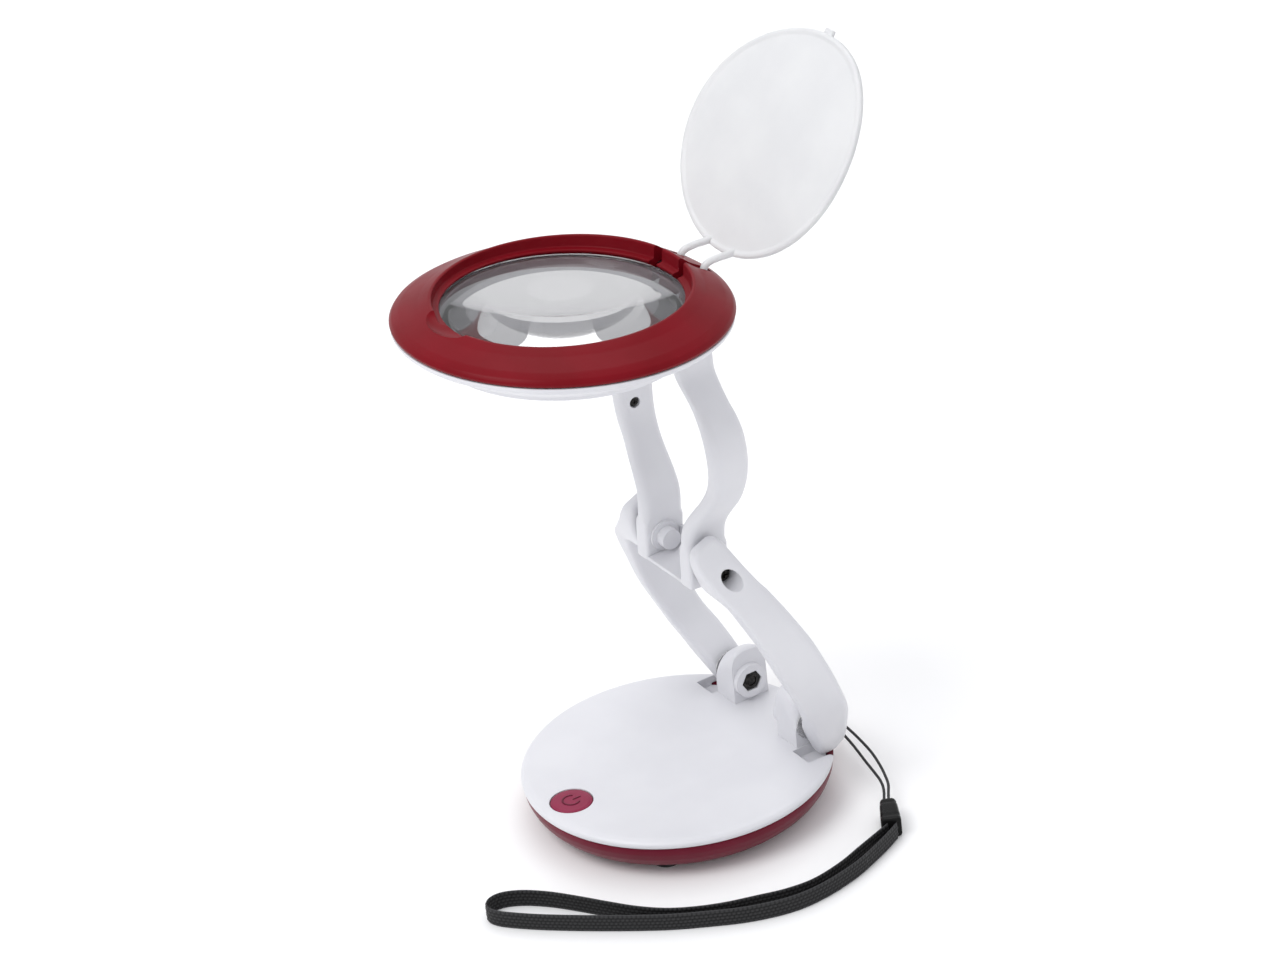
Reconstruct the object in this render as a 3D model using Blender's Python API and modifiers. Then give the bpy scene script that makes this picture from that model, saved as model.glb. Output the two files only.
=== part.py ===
"""Folding LED desk magnifier: round base, two hooped arms, lit lens head, flip cover and wrist strap.

Blender 4.5, metres, +Z up. The front of the object is -Y and its hinges are at the back.
Lengths below are in millimetres and become metres where a mesh is made.
"""

import math

import bmesh
import bpy
from mathutils import Vector

MM = 0.001
GAP = 0.3  # clearance between touching pieces
ROUND_STEPS = 44  # facets round the base, the head and the cover

# Base
BASE_RADIUS = 60.0
FLOOR_PAD = 1.3  # height of the rubber feet
SHELL_BOTTOM = 1.6
SHELL_TOP = 14.7
TOP_PLATE_UNDER = 15.2
BASE_TOP = 18.0
FOOT_RADIUS = 5.5
FOOT_CIRCLE = 44.5
FOOT_ANGLES = (40, 140, 220, 320)
BASE_SCREW_CIRCLE = 40.0
BASE_SCREW_ANGLES = (90, 210, 330)
BAY_HALF_WIDTH = 18.6
BAY_HALF_LENGTH = 28.6
BATTERY_RADIUS = 5.2
BATTERY_LENGTH = 44.5

# Power button
BUTTON_Y = -47.6
BUTTON_RADIUS = 8.1
BUTTON_TRAVEL = 0.8

# Joints, as (y, z) of each hinge axis, which runs along X
BASE_HINGE = (44.0, 26.8)
ELBOW = (12.0, 105.5)
HEAD_HINGE = (17.0, 190.3)
HEAD_CENTRE = (-25.34, 216.34)
HEAD_TILT = 4.8  # degrees, front edge up
COVER_HINGE = (55.2, 1.8)  # in the head's own (y, z)
COVER_OPEN_ANGLE = 57.3  # degrees, above the head's +Y

# Base lugs and hinge hardware
LUG_INNER = 14.8
LUG_OUTER = 27.3
LUG_FRONT = 37.0
LUG_REAR = 52.4
LUG_TOP = 40.2
LUG_SQUARENESS = 0.72  # 1 is a true half ellipse, less is squarer
BOSS_INNER = 12.3
BOSS_RADIUS = 6.9
NUT_RADIUS = 4.04
BOLT_RADIUS = 1.9
BAR_FACE = 28.3  # inner face of the lower arm at the base hinge

# Notches in the base for the feet of the arm
NOTCH_INNER = 27.8
NOTCH_OUTER = 38.6
NOTCH_FRONT = 34.6
NOTCH_FLOOR = 14.1

# Elbow
YOKE_INNER = 11.1
YOKE_OUTER = 18.7
KNUCKLE_FACE = 19.7  # inner face of the lower arm at the elbow
ELBOW_BOSS_RADIUS = 4.0
ELBOW_COLLAR_RADIUS = 6.0

# Head
HEAD_RADIUS = 62.2
CREST_RADIUS = 47.3
CREST_HEIGHT = 8.9
LENS_RADIUS = 45.0
LENS_EDGE_LOW = -0.9
LENS_EDGE_TOP = 3.7
LENS_TOP_RISE = 3.9
LENS_BOTTOM_DROP = 9.0

# Cover, in its own frame: +Y from the hinge along the disc, -Z towards its outer face
COVER_HALF_WIDTH = 47.2
COVER_HALF_LENGTH = 43.8
COVER_CENTRE = (54.45, -5.8)
COVER_BEND = (3.4, 1.15)  # how far the ends of the disc leave its plane, as squared and cubed shares
COVER_THICKNESS = 2.2
COVER_ROD_X = 7.6
COVER_ROD_RADIUS = 1.4
# Route of each rod from the hinge axis to the disc, as (y, z) along the head's own axes
COVER_ROD_ROUTE = ((0.0, 0.6), (0.1, 2.9), (0.9, 4.7), (3.0, 5.8), (6.4, 6.3), (9.8, 6.4), (12.0, 6.5),
                   (13.7, 6.5))

WHITE_PLASTIC = ("white_plastic", (0.86, 0.86, 0.88), 0.35, 0.0)
RED_PLASTIC = ("red_plastic", (0.22, 0.008, 0.018), 0.32, 0.0)
BUTTON_PLASTIC = ("button_plastic", (0.30, 0.012, 0.045), 0.4, 0.0)
FROSTED_PLASTIC = ("frosted_plastic", (0.82, 0.83, 0.84), 0.55, 0.0)
LENS_ACRYLIC = ("lens_acrylic", (0.95, 0.97, 0.97), 0.02, 0.0)
BLACK_STEEL = ("black_steel", (0.03, 0.03, 0.032), 0.35, 1.0)
BRIGHT_STEEL = ("bright_steel", (0.6, 0.6, 0.6), 0.25, 1.0)
BLACK_RUBBER = ("black_rubber", (0.02, 0.02, 0.02), 0.8, 0.0)
BLACK_WEBBING = ("black_webbing", (0.015, 0.015, 0.015), 0.9, 0.0)
BLACK_PLASTIC = ("black_plastic", (0.02, 0.02, 0.02), 0.35, 0.0)
CIRCUIT_BOARD = ("circuit_board", (0.03, 0.18, 0.08), 0.5, 0.0)
BATTERY_SLEEVE = ("battery_sleeve", (0.12, 0.12, 0.13), 0.3, 0.3)
LED_RESIN = ("led_resin", (0.9, 0.85, 0.6), 0.3, 0.0)


# ---------------------------------------------------------------- scene and helpers

def clear_scene():
    for obj in list(bpy.data.objects):
        bpy.data.objects.remove(obj, do_unlink=True)


def make_collection(name):
    collection = bpy.data.collections.new(name)
    bpy.context.scene.collection.children.link(collection)
    return collection


def get_material(spec):
    name, colour, roughness, metallic = spec
    material = bpy.data.materials.get(name)
    if material is None:
        material = bpy.data.materials.new(name)
        material.use_nodes = True
        shader = material.node_tree.nodes["Principled BSDF"]
        shader.inputs["Base Color"].default_value = (*colour, 1.0)
        shader.inputs["Roughness"].default_value = roughness
        shader.inputs["Metallic"].default_value = metallic
    return material


clear_scene()
PARTS = make_collection("folding_magnifier")
CUTTERS = make_collection("cutters")
CUTTERS.hide_render = True


def make_frame(name, parent, location, tilt):
    """An empty on a joint axis. The pieces that turn there are its children."""
    frame = bpy.data.objects.new(name, None)
    PARTS.objects.link(frame)
    frame.empty_display_size = 0.02
    frame.parent = parent
    frame.location = Vector(location) * MM
    frame.rotation_euler.x = math.radians(tilt)
    return frame


def tilt_between(low, high):
    """Angle about X, in degrees, that turns +Z to the line from one (y, z) to another."""
    return math.degrees(math.atan2(low[0] - high[0], high[1] - low[1]))


LOWER_LEAN = tilt_between(BASE_HINGE, ELBOW)
UPPER_LEAN = tilt_between(ELBOW, HEAD_HINGE)
LOWER_LENGTH = math.dist(BASE_HINGE, ELBOW)
UPPER_LENGTH = math.dist(ELBOW, HEAD_HINGE)

BASE = make_frame("base_frame", None, (0, 0, 0), 0)
BUTTON = make_frame("button_slide", None, (0, BUTTON_Y, BASE_TOP), 0)
LOWER = make_frame("base_hinge_axis", None, (0, *BASE_HINGE), LOWER_LEAN)
UPPER = make_frame("elbow_axis", None, (0, *ELBOW), UPPER_LEAN)
HEAD_PIVOT = make_frame("head_hinge_axis", None, (0, *HEAD_HINGE), -HEAD_TILT)
head_offset = Vector((0, HEAD_CENTRE[0] - HEAD_HINGE[0], HEAD_CENTRE[1] - HEAD_HINGE[1]))
head_offset.rotate(HEAD_PIVOT.rotation_euler.to_matrix().inverted())
HEAD = make_frame("head_centre", HEAD_PIVOT, head_offset, 0)
COVER = make_frame("cover_hinge_axis", HEAD, (0, *COVER_HINGE), COVER_OPEN_ANGLE)


def finish(obj, name, spec, frame):
    """Names an object, gives it its material and hangs it in its frame."""
    obj.name = name
    obj.data.name = name
    for collection in list(obj.users_collection):
        collection.objects.unlink(obj)
    PARTS.objects.link(obj)
    obj.parent = frame
    obj.data.materials.clear()
    obj.data.materials.append(get_material(spec))
    if obj.type == "MESH":
        obj.data.set_sharp_from_angle(angle=math.radians(35))
    return obj


def as_cutter(obj, frame):
    for collection in list(obj.users_collection):
        collection.objects.unlink(obj)
    CUTTERS.objects.link(obj)
    obj.parent = frame
    obj.hide_render = True
    obj.display_type = "WIRE"
    return obj


def combine(obj, tool, operation="DIFFERENCE"):
    modifier = obj.modifiers.new(f"{operation.lower()}_{tool.name}", "BOOLEAN")
    modifier.operation = operation
    modifier.solver = "EXACT"
    modifier.object = tool


def apply_modifiers(obj):
    """Replaces the object's mesh by what its modifiers make of it."""
    bpy.context.view_layer.update()
    graph = bpy.context.evaluated_depsgraph_get()
    mesh = bpy.data.meshes.new_from_object(obj.evaluated_get(graph))
    obj.modifiers.clear()
    obj.data = mesh


def mesh_object(name, build):
    """A mesh object whose bmesh is filled by the function build."""
    mesh = bpy.data.meshes.new(name)
    bm = bmesh.new()
    build(bm)
    bmesh.ops.recalc_face_normals(bm, faces=bm.faces)
    bm.to_mesh(mesh)
    bm.free()
    obj = bpy.data.objects.new(name, mesh)
    PARTS.objects.link(obj)
    return obj


def box(name, low, high, round_edge=0.0):
    """A box between two corners in millimetres, with its edges bevelled if asked."""
    size = [(b - a) * MM for a, b in zip(low, high)]
    middle = [(a + b) / 2 * MM for a, b in zip(low, high)]

    def build(bm):
        bmesh.ops.create_cube(bm, size=1.0)
        bmesh.ops.scale(bm, vec=size, verts=bm.verts)
        bmesh.ops.translate(bm, vec=middle, verts=bm.verts)

    obj = mesh_object(name, build)
    if round_edge:
        bevel = obj.modifiers.new("round_edges", "BEVEL")
        bevel.width = round_edge * MM
        bevel.segments = 2
    return obj


def rod(name, start, end, radius, sides=20, end_radius=None):
    """A cylinder or cone from one point to another, in millimetres."""
    start, end = Vector(start), Vector(end)
    along = end - start

    def build(bm):
        bmesh.ops.create_cone(
            bm,
            cap_ends=True,
            segments=sides,
            radius1=radius * MM,
            radius2=(radius if end_radius is None else end_radius) * MM,
            depth=along.length * MM,
        )
        turn = Vector((0, 0, 1)).rotation_difference(along).to_matrix()
        bmesh.ops.rotate(bm, matrix=turn, verts=bm.verts)
        bmesh.ops.translate(bm, vec=(start + end) / 2 * MM, verts=bm.verts)

    return mesh_object(name, build)


def turned(name, profile, steps, closed=False):
    """A profile of (radius, height) turned about Z. Its outer side runs from top to bottom."""

    def build(bm):
        points = [bm.verts.new((r * MM, 0, z * MM)) for r, z in profile]
        for a, b in zip(points, points[1:]):
            bm.edges.new((a, b))
        if closed:
            bm.edges.new((points[-1], points[0]))

    obj = mesh_object(name, build)
    screw = obj.modifiers.new("turn", "SCREW")
    screw.steps = steps
    screw.render_steps = steps
    screw.use_merge_vertices = True
    screw.merge_threshold = 0.00001
    screw.use_smooth_shade = True
    return obj


def loft(name, sections):
    """A skin over sections, each a loop of points in millimetres, with its two ends capped."""

    def build(bm):
        loops = [[bm.verts.new(Vector(p) * MM) for p in section] for section in sections]
        count = len(loops[0])
        for low, high in zip(loops, loops[1:]):
            for i in range(count):
                j = (i + 1) % count
                bm.faces.new((low[i], low[j], high[j], high[i]))
        bm.faces.new(loops[0][::-1])
        bm.faces.new(loops[-1])

    obj = mesh_object(name, build)
    obj.data.shade_smooth()
    return obj


def rounded_rectangle(x0, x1, y0, y1, radius, arc=2):
    """Corner points of a rectangle with round corners, anticlockwise."""
    radius = min(radius, abs(x1 - x0) / 2.02, abs(y1 - y0) / 2.02)
    corners = ((x1 - radius, y1 - radius), (x0 + radius, y1 - radius),
               (x0 + radius, y0 + radius), (x1 - radius, y0 + radius))
    points = []
    for quarter, (cx, cy) in enumerate(corners):
        for step in range(arc + 1):
            angle = math.radians(90 * (quarter + step / arc))
            points.append((cx + radius * math.cos(angle), cy + radius * math.sin(angle)))
    return points


def rounded_corners(corners, radii, arc=2):
    """The outline of a four-sided section with each corner rounded by its own radius."""
    points = []
    for i, (corner, radius) in enumerate(zip(corners, radii)):
        here = Vector(corner)
        back = Vector(corners[i - 1]) - here
        ahead = Vector(corners[(i + 1) % len(corners)]) - here
        reach = min(radius, 0.45 * back.length, 0.45 * ahead.length)
        start, end = here + back.normalized() * reach, here + ahead.normalized() * reach
        for step in range(arc + 1):
            t = step / arc
            point = start * (1 - t) ** 2 + here * 2 * t * (1 - t) + end * t**2
            points.append((point.x, point.y))
    return points


def smooth_rows(rows, steps):
    """Rows of numbers with a smooth curve drawn through them, steps to each gap."""
    result = []
    for i in range(len(rows) - 1):
        before, a, b, after = rows[max(i - 1, 0)], rows[i], rows[i + 1], rows[min(i + 2, len(rows) - 1)]
        for k in range(steps):
            t = k / steps
            result.append([
                0.5 * (2 * q + (r - p) * t + (2 * p - 5 * q + 4 * r - s) * t**2
                       + (3 * q - p - 3 * r + s) * t**3)
                for p, q, r, s in zip(before, a, b, after)
            ])
    result.append(list(rows[-1]))
    return result


def on_circle(radius, degrees):
    angle = math.radians(degrees)
    return radius * math.cos(angle), radius * math.sin(angle)


SIDES = (("left", -1), ("right", 1))


# ---------------------------------------------------------------- base

def make_notch_cutter(side):
    name, sign = side
    xs = sorted((sign * NOTCH_INNER, sign * NOTCH_OUTER))
    cutter = box(f"notch_{name}", (xs[0], NOTCH_FRONT, NOTCH_FLOOR), (xs[1], BASE_RADIUS + 4, BASE_TOP + 2))
    return as_cutter(cutter, BASE)


NOTCHES = [make_notch_cutter(side) for side in SIDES]


def make_base_lower_shell():
    floor = 3.6
    profile = [(0, floor), (46, floor), (50, 4.7), (53, 6.8), (55.2, 9.4), (56.6, 12.0), (57.2, SHELL_TOP),
               (59.5, SHELL_TOP), (59.2, 11.8), (58.0, 8.8), (56.0, 6.0), (53.5, 3.8), (50.5, 2.3),
               (47.0, SHELL_BOTTOM), (0, SHELL_BOTTOM)]
    shell = turned("base_lower_shell", profile, ROUND_STEPS)
    door_hole = box("door_hole", (-BAY_HALF_WIDTH, -BAY_HALF_LENGTH, 0), (BAY_HALF_WIDTH, BAY_HALF_LENGTH, 5))
    combine(shell, as_cutter(door_hole, BASE))
    for notch in NOTCHES:
        combine(shell, notch)
    for angle in BASE_SCREW_ANGLES:
        x, y = on_circle(BASE_SCREW_CIRCLE, angle)
        pad = rod(f"base_screw_pad_{angle}", (x, y, 3.0), (x, y, 5.4), 4.4, 16)
        combine(shell, as_cutter(pad, BASE), "UNION")
        hole = rod(f"base_screw_hole_{angle}", (x, y, 0), (x, y, 7), 1.8, 12)
        combine(shell, as_cutter(hole, BASE))
        sink = rod(f"base_screw_sink_{angle}", (x, y, 0), (x, y, 3.7), 3.3, 16)
        combine(shell, as_cutter(sink, BASE))
    eye = box("strap_eye", (EYE[0] - 2.6, 57.4, EYE[2] - 2.4), (EYE[0] + 2.6, EYE[1] + 2.2, EYE[2] + 2.4), 0.7)
    combine(shell, as_cutter(eye, BASE), "UNION")
    eye_hole = rod("strap_eye_hole", (EYE[0] - 5, *EYE[1:]), (EYE[0] + 5, *EYE[1:]), 1.1, 12)
    combine(shell, as_cutter(eye_hole, BASE))
    finish(shell, "base_lower_shell", RED_PLASTIC, BASE)


def lug_section(x, top):
    """Outline of a base lug in its YZ plane: straight sides under a flattened half ellipse."""
    arc_height = 9.0
    middle = (LUG_FRONT + LUG_REAR) / 2
    half = (LUG_REAR - LUG_FRONT) / 2
    points = [(x, LUG_REAR + 0.01, TOP_PLATE_UNDER + 0.6)]
    for step in range(13):
        angle = math.pi * step / 12
        across = math.copysign(abs(math.cos(angle)) ** LUG_SQUARENESS, math.cos(angle))
        rise = max(math.sin(angle), 0.0) ** LUG_SQUARENESS
        points.append((x, middle + half * across, top - arc_height + arc_height * rise))
    points.append((x, LUG_FRONT, TOP_PLATE_UNDER + 0.6))
    return points


def add_lug(plate, side):
    """One hinge lug with its round boss, nut pocket and bolt hole, joined to the top plate."""
    name, sign = side
    tops = ((LUG_INNER, LUG_TOP - 0.7), (LUG_INNER + 1.0, LUG_TOP), (18.0, LUG_TOP - 0.5), (21.0, LUG_TOP - 1.8),
            (24.0, LUG_TOP - 4.2), (26.2, LUG_TOP - 7.2), (LUG_OUTER, LUG_TOP - 9.4))
    lug = loft(f"lug_{name}", [lug_section(sign * x, top) for x, top in tops])
    combine(plate, as_cutter(lug, BASE), "UNION")
    boss = rod(f"lug_boss_{name}", (sign * BOSS_INNER, *BASE_HINGE), (sign * (LUG_INNER + 1), *BASE_HINGE),
               BOSS_RADIUS, 24)
    combine(plate, as_cutter(boss, BASE), "UNION")


def drill_lug(plate, side):
    name, sign = side
    pocket = rod(f"nut_pocket_{name}", (sign * (BOSS_INNER - 1), *BASE_HINGE),
                 (sign * 15.9, *BASE_HINGE), NUT_RADIUS + 0.4, 6)
    combine(plate, as_cutter(pocket, BASE))
    hole = rod(f"bolt_hole_{name}", (sign * 15.0, *BASE_HINGE), (sign * (LUG_OUTER + 2), *BASE_HINGE),
               BOLT_RADIUS + 0.4, 16)
    combine(plate, as_cutter(hole, BASE))


def make_base_top_plate():
    profile = [(0, BASE_TOP), (56.8, BASE_TOP), (58.7, 17.6), (59.7, 16.8), (BASE_RADIUS, 15.9), (59.8, SHELL_TOP + 0.3),
               (56.5, SHELL_TOP + 0.3), (56.5, 13.4), (54.9, 13.4), (54.9, TOP_PLATE_UNDER), (0, TOP_PLATE_UNDER)]
    plate = turned("base_top_plate", profile, ROUND_STEPS)
    for name, sign in SIDES:
        xs = sorted((sign * (NOTCH_INNER - 1.5), sign * (NOTCH_OUTER + 1.5)))
        pad = box(f"notch_pad_{name}", (xs[0], NOTCH_FRONT - 1.5, NOTCH_FLOOR - 1.6),
                  (xs[1], 58, TOP_PLATE_UNDER + 0.8))
        rim = rod(f"pad_rim_{name}", (0, 0, 5), (0, 0, 25), 56.4, 48)
        combine(pad, as_cutter(rim, BASE), "INTERSECT")
        combine(plate, as_cutter(pad, BASE), "UNION")
    for angle in BASE_SCREW_ANGLES:
        x, y = on_circle(BASE_SCREW_CIRCLE, angle)
        post = rod(f"screw_post_{angle}", (x, y, 5.8), (x, y, TOP_PLATE_UNDER + 0.8), 3.2, 12)
        combine(plate, as_cutter(post, BASE), "UNION")
    for side in SIDES:
        add_lug(plate, side)
    for notch in NOTCHES:
        combine(plate, notch)
    for side in SIDES:
        drill_lug(plate, side)
    button_hole = rod("button_hole", (0, BUTTON_Y, TOP_PLATE_UNDER - 2), (0, BUTTON_Y, BASE_TOP + 2),
                      BUTTON_RADIUS + GAP, 28)
    combine(plate, as_cutter(button_hole, BASE))
    for angle in BASE_SCREW_ANGLES:
        x, y = on_circle(BASE_SCREW_CIRCLE, angle)
        hole = rod(f"screw_post_hole_{angle}", (x, y, 0), (x, y, 12.6), 1.7, 12)
        combine(plate, as_cutter(hole, BASE))
    finish(plate, "base_top_plate", WHITE_PLASTIC, BASE)


def make_base_screws():
    for number, angle in enumerate(BASE_SCREW_ANGLES, 1):
        x, y = on_circle(BASE_SCREW_CIRCLE, angle)
        screw = turned(f"base_screw_{number}",
                       [(0, 12.2), (1.3, 12.2), (1.3, 3.4), (2.9, 3.4), (2.9, 2.2), (0, 2.2)], 12)
        finish(screw, f"base_screw_{number}", BLACK_STEEL, BASE)
        screw.location = Vector((x, y, 0)) * MM


def make_feet():
    for number, angle in enumerate(FOOT_ANGLES, 1):
        x, y = on_circle(FOOT_CIRCLE, angle)
        foot = turned(f"rubber_foot_{number}",
                      [(0, FLOOR_PAD), (FOOT_RADIUS, FLOOR_PAD), (FOOT_RADIUS, 0.5),
                       (FOOT_RADIUS - 0.5, 0), (0, 0)], 20)
        finish(foot, f"rubber_foot_{number}", BLACK_RUBBER, BASE)
        foot.location = Vector((x, y, 0)) * MM


def make_battery_bay():
    """Door, open-bottomed tray, three cells side by side and the contact strips at their ends."""
    door = box("battery_door", (GAP - BAY_HALF_WIDTH, GAP - BAY_HALF_LENGTH, SHELL_BOTTOM),
               (BAY_HALF_WIDTH - GAP, BAY_HALF_LENGTH - GAP, 3.2), 0.4)
    finish(door, "battery_door", RED_PLASTIC, BASE)

    wall = 1.2
    tray = box("battery_tray", (-BAY_HALF_WIDTH, -BAY_HALF_LENGTH, 4.0), (BAY_HALF_WIDTH, BAY_HALF_LENGTH, 14.9))
    hollow = box("tray_hollow", (wall - BAY_HALF_WIDTH, wall - BAY_HALF_LENGTH, 0),
                 (BAY_HALF_WIDTH - wall, BAY_HALF_LENGTH - wall, 14.9 - 0.6))
    combine(tray, as_cutter(hollow, BASE))
    finish(tray, "battery_tray", BLACK_PLASTIC, BASE)

    centre_z = 8.9
    spacing = 2 * BATTERY_RADIUS + 0.4
    for number in (1, 2, 3):
        x = (number - 2) * spacing
        half = BATTERY_LENGTH / 2
        cell = turned(f"battery_{number}",
                      [(0, half), (1.9, half), (1.9, half - 1), (BATTERY_RADIUS, half - 1),
                       (BATTERY_RADIUS, -half), (0, -half)], 16)
        finish(cell, f"battery_{number}", BATTERY_SLEEVE, BASE)
        cell.location = Vector((x, 0, centre_z)) * MM
        cell.rotation_euler.x = math.radians(90 if number == 2 else -90)
    for name, sign in (("front", -1), ("rear", 1)):
        ys = sorted((sign * 26.9, sign * 26.4))
        strip = box(f"battery_contact_{name}", (-16.0, ys[0], 5.0), (16.0, ys[1], 12.8))
        for number in (-1, 0, 1):
            x = number * spacing
            spring = rod(f"contact_spring_{name}_{number + 1}", (x, sign * 26.6, centre_z),
                         (x, sign * (BATTERY_LENGTH / 2 + GAP), centre_z), 3.2, 12, 1.6)
            combine(strip, as_cutter(spring, BASE), "UNION")
        finish(strip, f"battery_contact_{name}", BRIGHT_STEEL, BASE)


def make_button_and_switch():
    cap_low = BASE_TOP - 2.0
    button = turned("power_button",
                    [(0, 0.35), (5.0, 0.3), (7.3, 0.1), (BUTTON_RADIUS, -0.4), (BUTTON_RADIUS, cap_low - BASE_TOP),
                     (2.0, cap_low - BASE_TOP), (2.0, -4.6), (0, -4.6)], 28)
    finish(button, "power_button", BUTTON_PLASTIC, BUTTON)

    board = box("switch_board", (-9, BUTTON_Y - 5.4, 8.2), (9, BUTTON_Y + 11.6, 9.4))
    finish(board, "switch_board", CIRCUIT_BOARD, BASE)

    switch = box("push_switch", (-3, BUTTON_Y - 3, 9.4 + 0.2), (3, BUTTON_Y + 3, 11.2))
    plunger = rod("switch_plunger", (0, BUTTON_Y, 10.8), (0, BUTTON_Y, BASE_TOP - 4.6 - BUTTON_TRAVEL - 0.2), 1.7, 12)
    combine(switch, as_cutter(plunger, BASE), "UNION")
    finish(switch, "push_switch", BLACK_PLASTIC, BASE)


def make_base_hinge_hardware():
    for name, sign in SIDES:
        axis = BASE_HINGE
        bolt = rod(f"base_hinge_bolt_{name}", (sign * 12.9, *axis), (sign * 34.0, *axis), BOLT_RADIUS, 16)
        head = rod(f"bolt_head_{name}", (sign * 33.7, *axis), (sign * 36.2, *axis), 3.5, 16)
        combine(bolt, as_cutter(head, BASE), "UNION")
        finish(bolt, f"base_hinge_bolt_{name}", BLACK_STEEL, BASE)

        nut = rod(f"base_hinge_nut_{name}", (sign * 12.6, *axis), (sign * 15.5, *axis), NUT_RADIUS, 6)
        thread = rod(f"nut_thread_{name}", (sign * 12, *axis), (sign * 17, *axis), BOLT_RADIUS + 0.2, 16)
        combine(nut, as_cutter(thread, BASE))
        finish(nut, f"base_hinge_nut_{name}", BLACK_STEEL, BASE)

        washer = rod(f"friction_washer_{name}", (sign * 27.5, *axis), (sign * 28.05, *axis), 6.5, 24)
        bore = rod(f"washer_bore_{name}", (sign * 27, *axis), (sign * 29, *axis), BOLT_RADIUS + 0.4, 16)
        combine(washer, as_cutter(bore, BASE))
        finish(washer, f"friction_washer_{name}", BRIGHT_STEEL, BASE)


# ---------------------------------------------------------------- lower arm

# Height along the arm, then the x of the inner face, of the outer face at its front and of the outer face
# at its rear, then front y and rear y. The arm bows outwards like the rim of the base.
LOWER_BAR_ROWS = (
    (-11.6, 29.6, 34.0, 35.4, -2.0, 3.0),
    (-9.0, BAR_FACE, 35.5, 37.4, -5.0, 7.0),
    (-4.0, BAR_FACE, 38.5, 41.0, -5.2, 8.0),
    (4.0, 30.0, 44.0, 46.5, -5.4, 8.4),
    (12.0, 35.5, 46.6, 52.0, -5.7, 8.9),
    (20.0, 40.3, 49.1, 56.8, -6.2, 8.6),
    (28.0, 42.5, 49.8, 58.0, -6.6, 8.9),
    (36.0, 43.3, 49.9, 57.4, -7.1, 9.4),
    (44.0, 43.1, 50.2, 55.8, -7.5, 9.8),
    (52.0, 42.0, 49.6, 53.4, -7.4, 10.1),
    (60.0, 39.9, 48.3, 50.5, -7.2, 9.7),
    (68.0, 37.0, 46.5, 47.4, -7.3, 9.1),
    (76.0, 33.4, 43.6, 43.8, -7.3, 8.2),
)
LOWER_TOP_ROWS = (
    (78.0, 28.0, 41.9, 42.1, -7.4, 7.8),
    (79.6, KNUCKLE_FACE, 40.4, 40.6, -7.5, 7.6),
    (85.0, KNUCKLE_FACE, 34.8, 35.0, -7.6, 7.5),
    (90.0, KNUCKLE_FACE, 30.0, 30.2, -7.2, 7.6),
    (94.0, KNUCKLE_FACE, 27.2, 27.4, -6.2, 7.2),
    (96.6, KNUCKLE_FACE + 0.5, 25.6, 25.8, -4.6, 6.0),
    (97.6, KNUCKLE_FACE + 1.4, 24.6, 24.8, -2.4, 4.4),
)
LOWER_BAR_ROUNDING = (1.6, 3.0, 4.0, 4.5)  # front outer, front inner, rear inner and rear outer edges


def make_lower_arm_bar(side):
    name, sign = side
    rows = smooth_rows(LOWER_BAR_ROWS, 1) + [list(row) for row in LOWER_TOP_ROWS]
    sections = []
    for height, inner, outer_front, outer_rear, front, rear in rows:
        corners = ((outer_front, front), (inner, front), (inner, rear), (outer_rear, rear))
        outline = rounded_corners(corners, LOWER_BAR_ROUNDING)
        sections.append([(sign * x, y, height) for x, y in outline])
    bar = loft(f"lower_arm_bar_{name}", sections)

    hinge_hole = rod(f"bar_hinge_hole_{name}", (sign * 26, 0, 0), (sign * 33.8, 0, 0), BOLT_RADIUS + 0.4, 16)
    combine(bar, as_cutter(hinge_hole, LOWER))
    head_room = rod(f"bar_bolt_head_room_{name}", (sign * 33.4, 0, 0), (sign * 36.5, 0, 0), 3.8, 16)
    combine(bar, as_cutter(head_room, LOWER))
    elbow_hole = rod(f"bar_elbow_hole_{name}", (sign * 18, 0, LOWER_LENGTH), (sign * 28, 0, LOWER_LENGTH), 2.3, 16)
    combine(bar, as_cutter(elbow_hole, LOWER))
    counterbore = rod(f"bar_counterbore_{name}", (sign * 26.8, 0, LOWER_LENGTH), (sign * 46, 0, LOWER_LENGTH), 3.4, 24)
    combine(bar, as_cutter(counterbore, LOWER))
    finish(bar, f"lower_arm_bar_{name}", WHITE_PLASTIC, LOWER)


# ---------------------------------------------------------------- upper arm

# Height above the elbow, middle x, wall across, front y, rear y. Two bars bow out and meet in a yoke.
UPPER_BAR_ROWS = (
    (-8.8, 14.9, 6.6, -7.0, 7.8),
    (-8.3, 14.9, 7.4, -7.8, 8.6),
    (-5.5, 14.9, 7.6, -7.9, 8.9),
    (4.0, 14.9, 7.6, -7.9, 9.2),
    (12.0, 14.9, 7.6, -7.6, 9.6),
    (17.0, 16.4, 8.0, -6.6, 10.0),
    (22.0, 20.0, 8.4, -5.6, 10.4),
    (28.0, 24.8, 8.8, -4.4, 10.4),
    (34.0, 28.4, 8.8, -3.8, 10.2),
    (41.0, 31.0, 8.6, -4.4, 10.2),
    (49.0, 31.8, 8.6, -5.2, 10.0),
    (57.0, 30.8, 8.6, -6.0, 9.5),
    (63.0, 28.0, 8.6, -6.2, 8.8),
    (68.0, 24.0, 8.4, -6.2, 8.0),
    (73.0, 19.4, 8.0, -6.8, 8.0),
    (78.0, 15.8, 7.8, -7.4, 8.0),
    (84.8, 14.9, 7.6, -8.0, 8.0),
    (89.0, 14.9, 7.6, -7.0, 7.0),
    (91.6, 14.9, 7.2, -4.8, 4.8),
    (92.6, 14.9, 6.4, -2.6, 2.6),
)


YOKE_ROUNDING = 1.4
BAR_ROUNDING = 3.2


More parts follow.
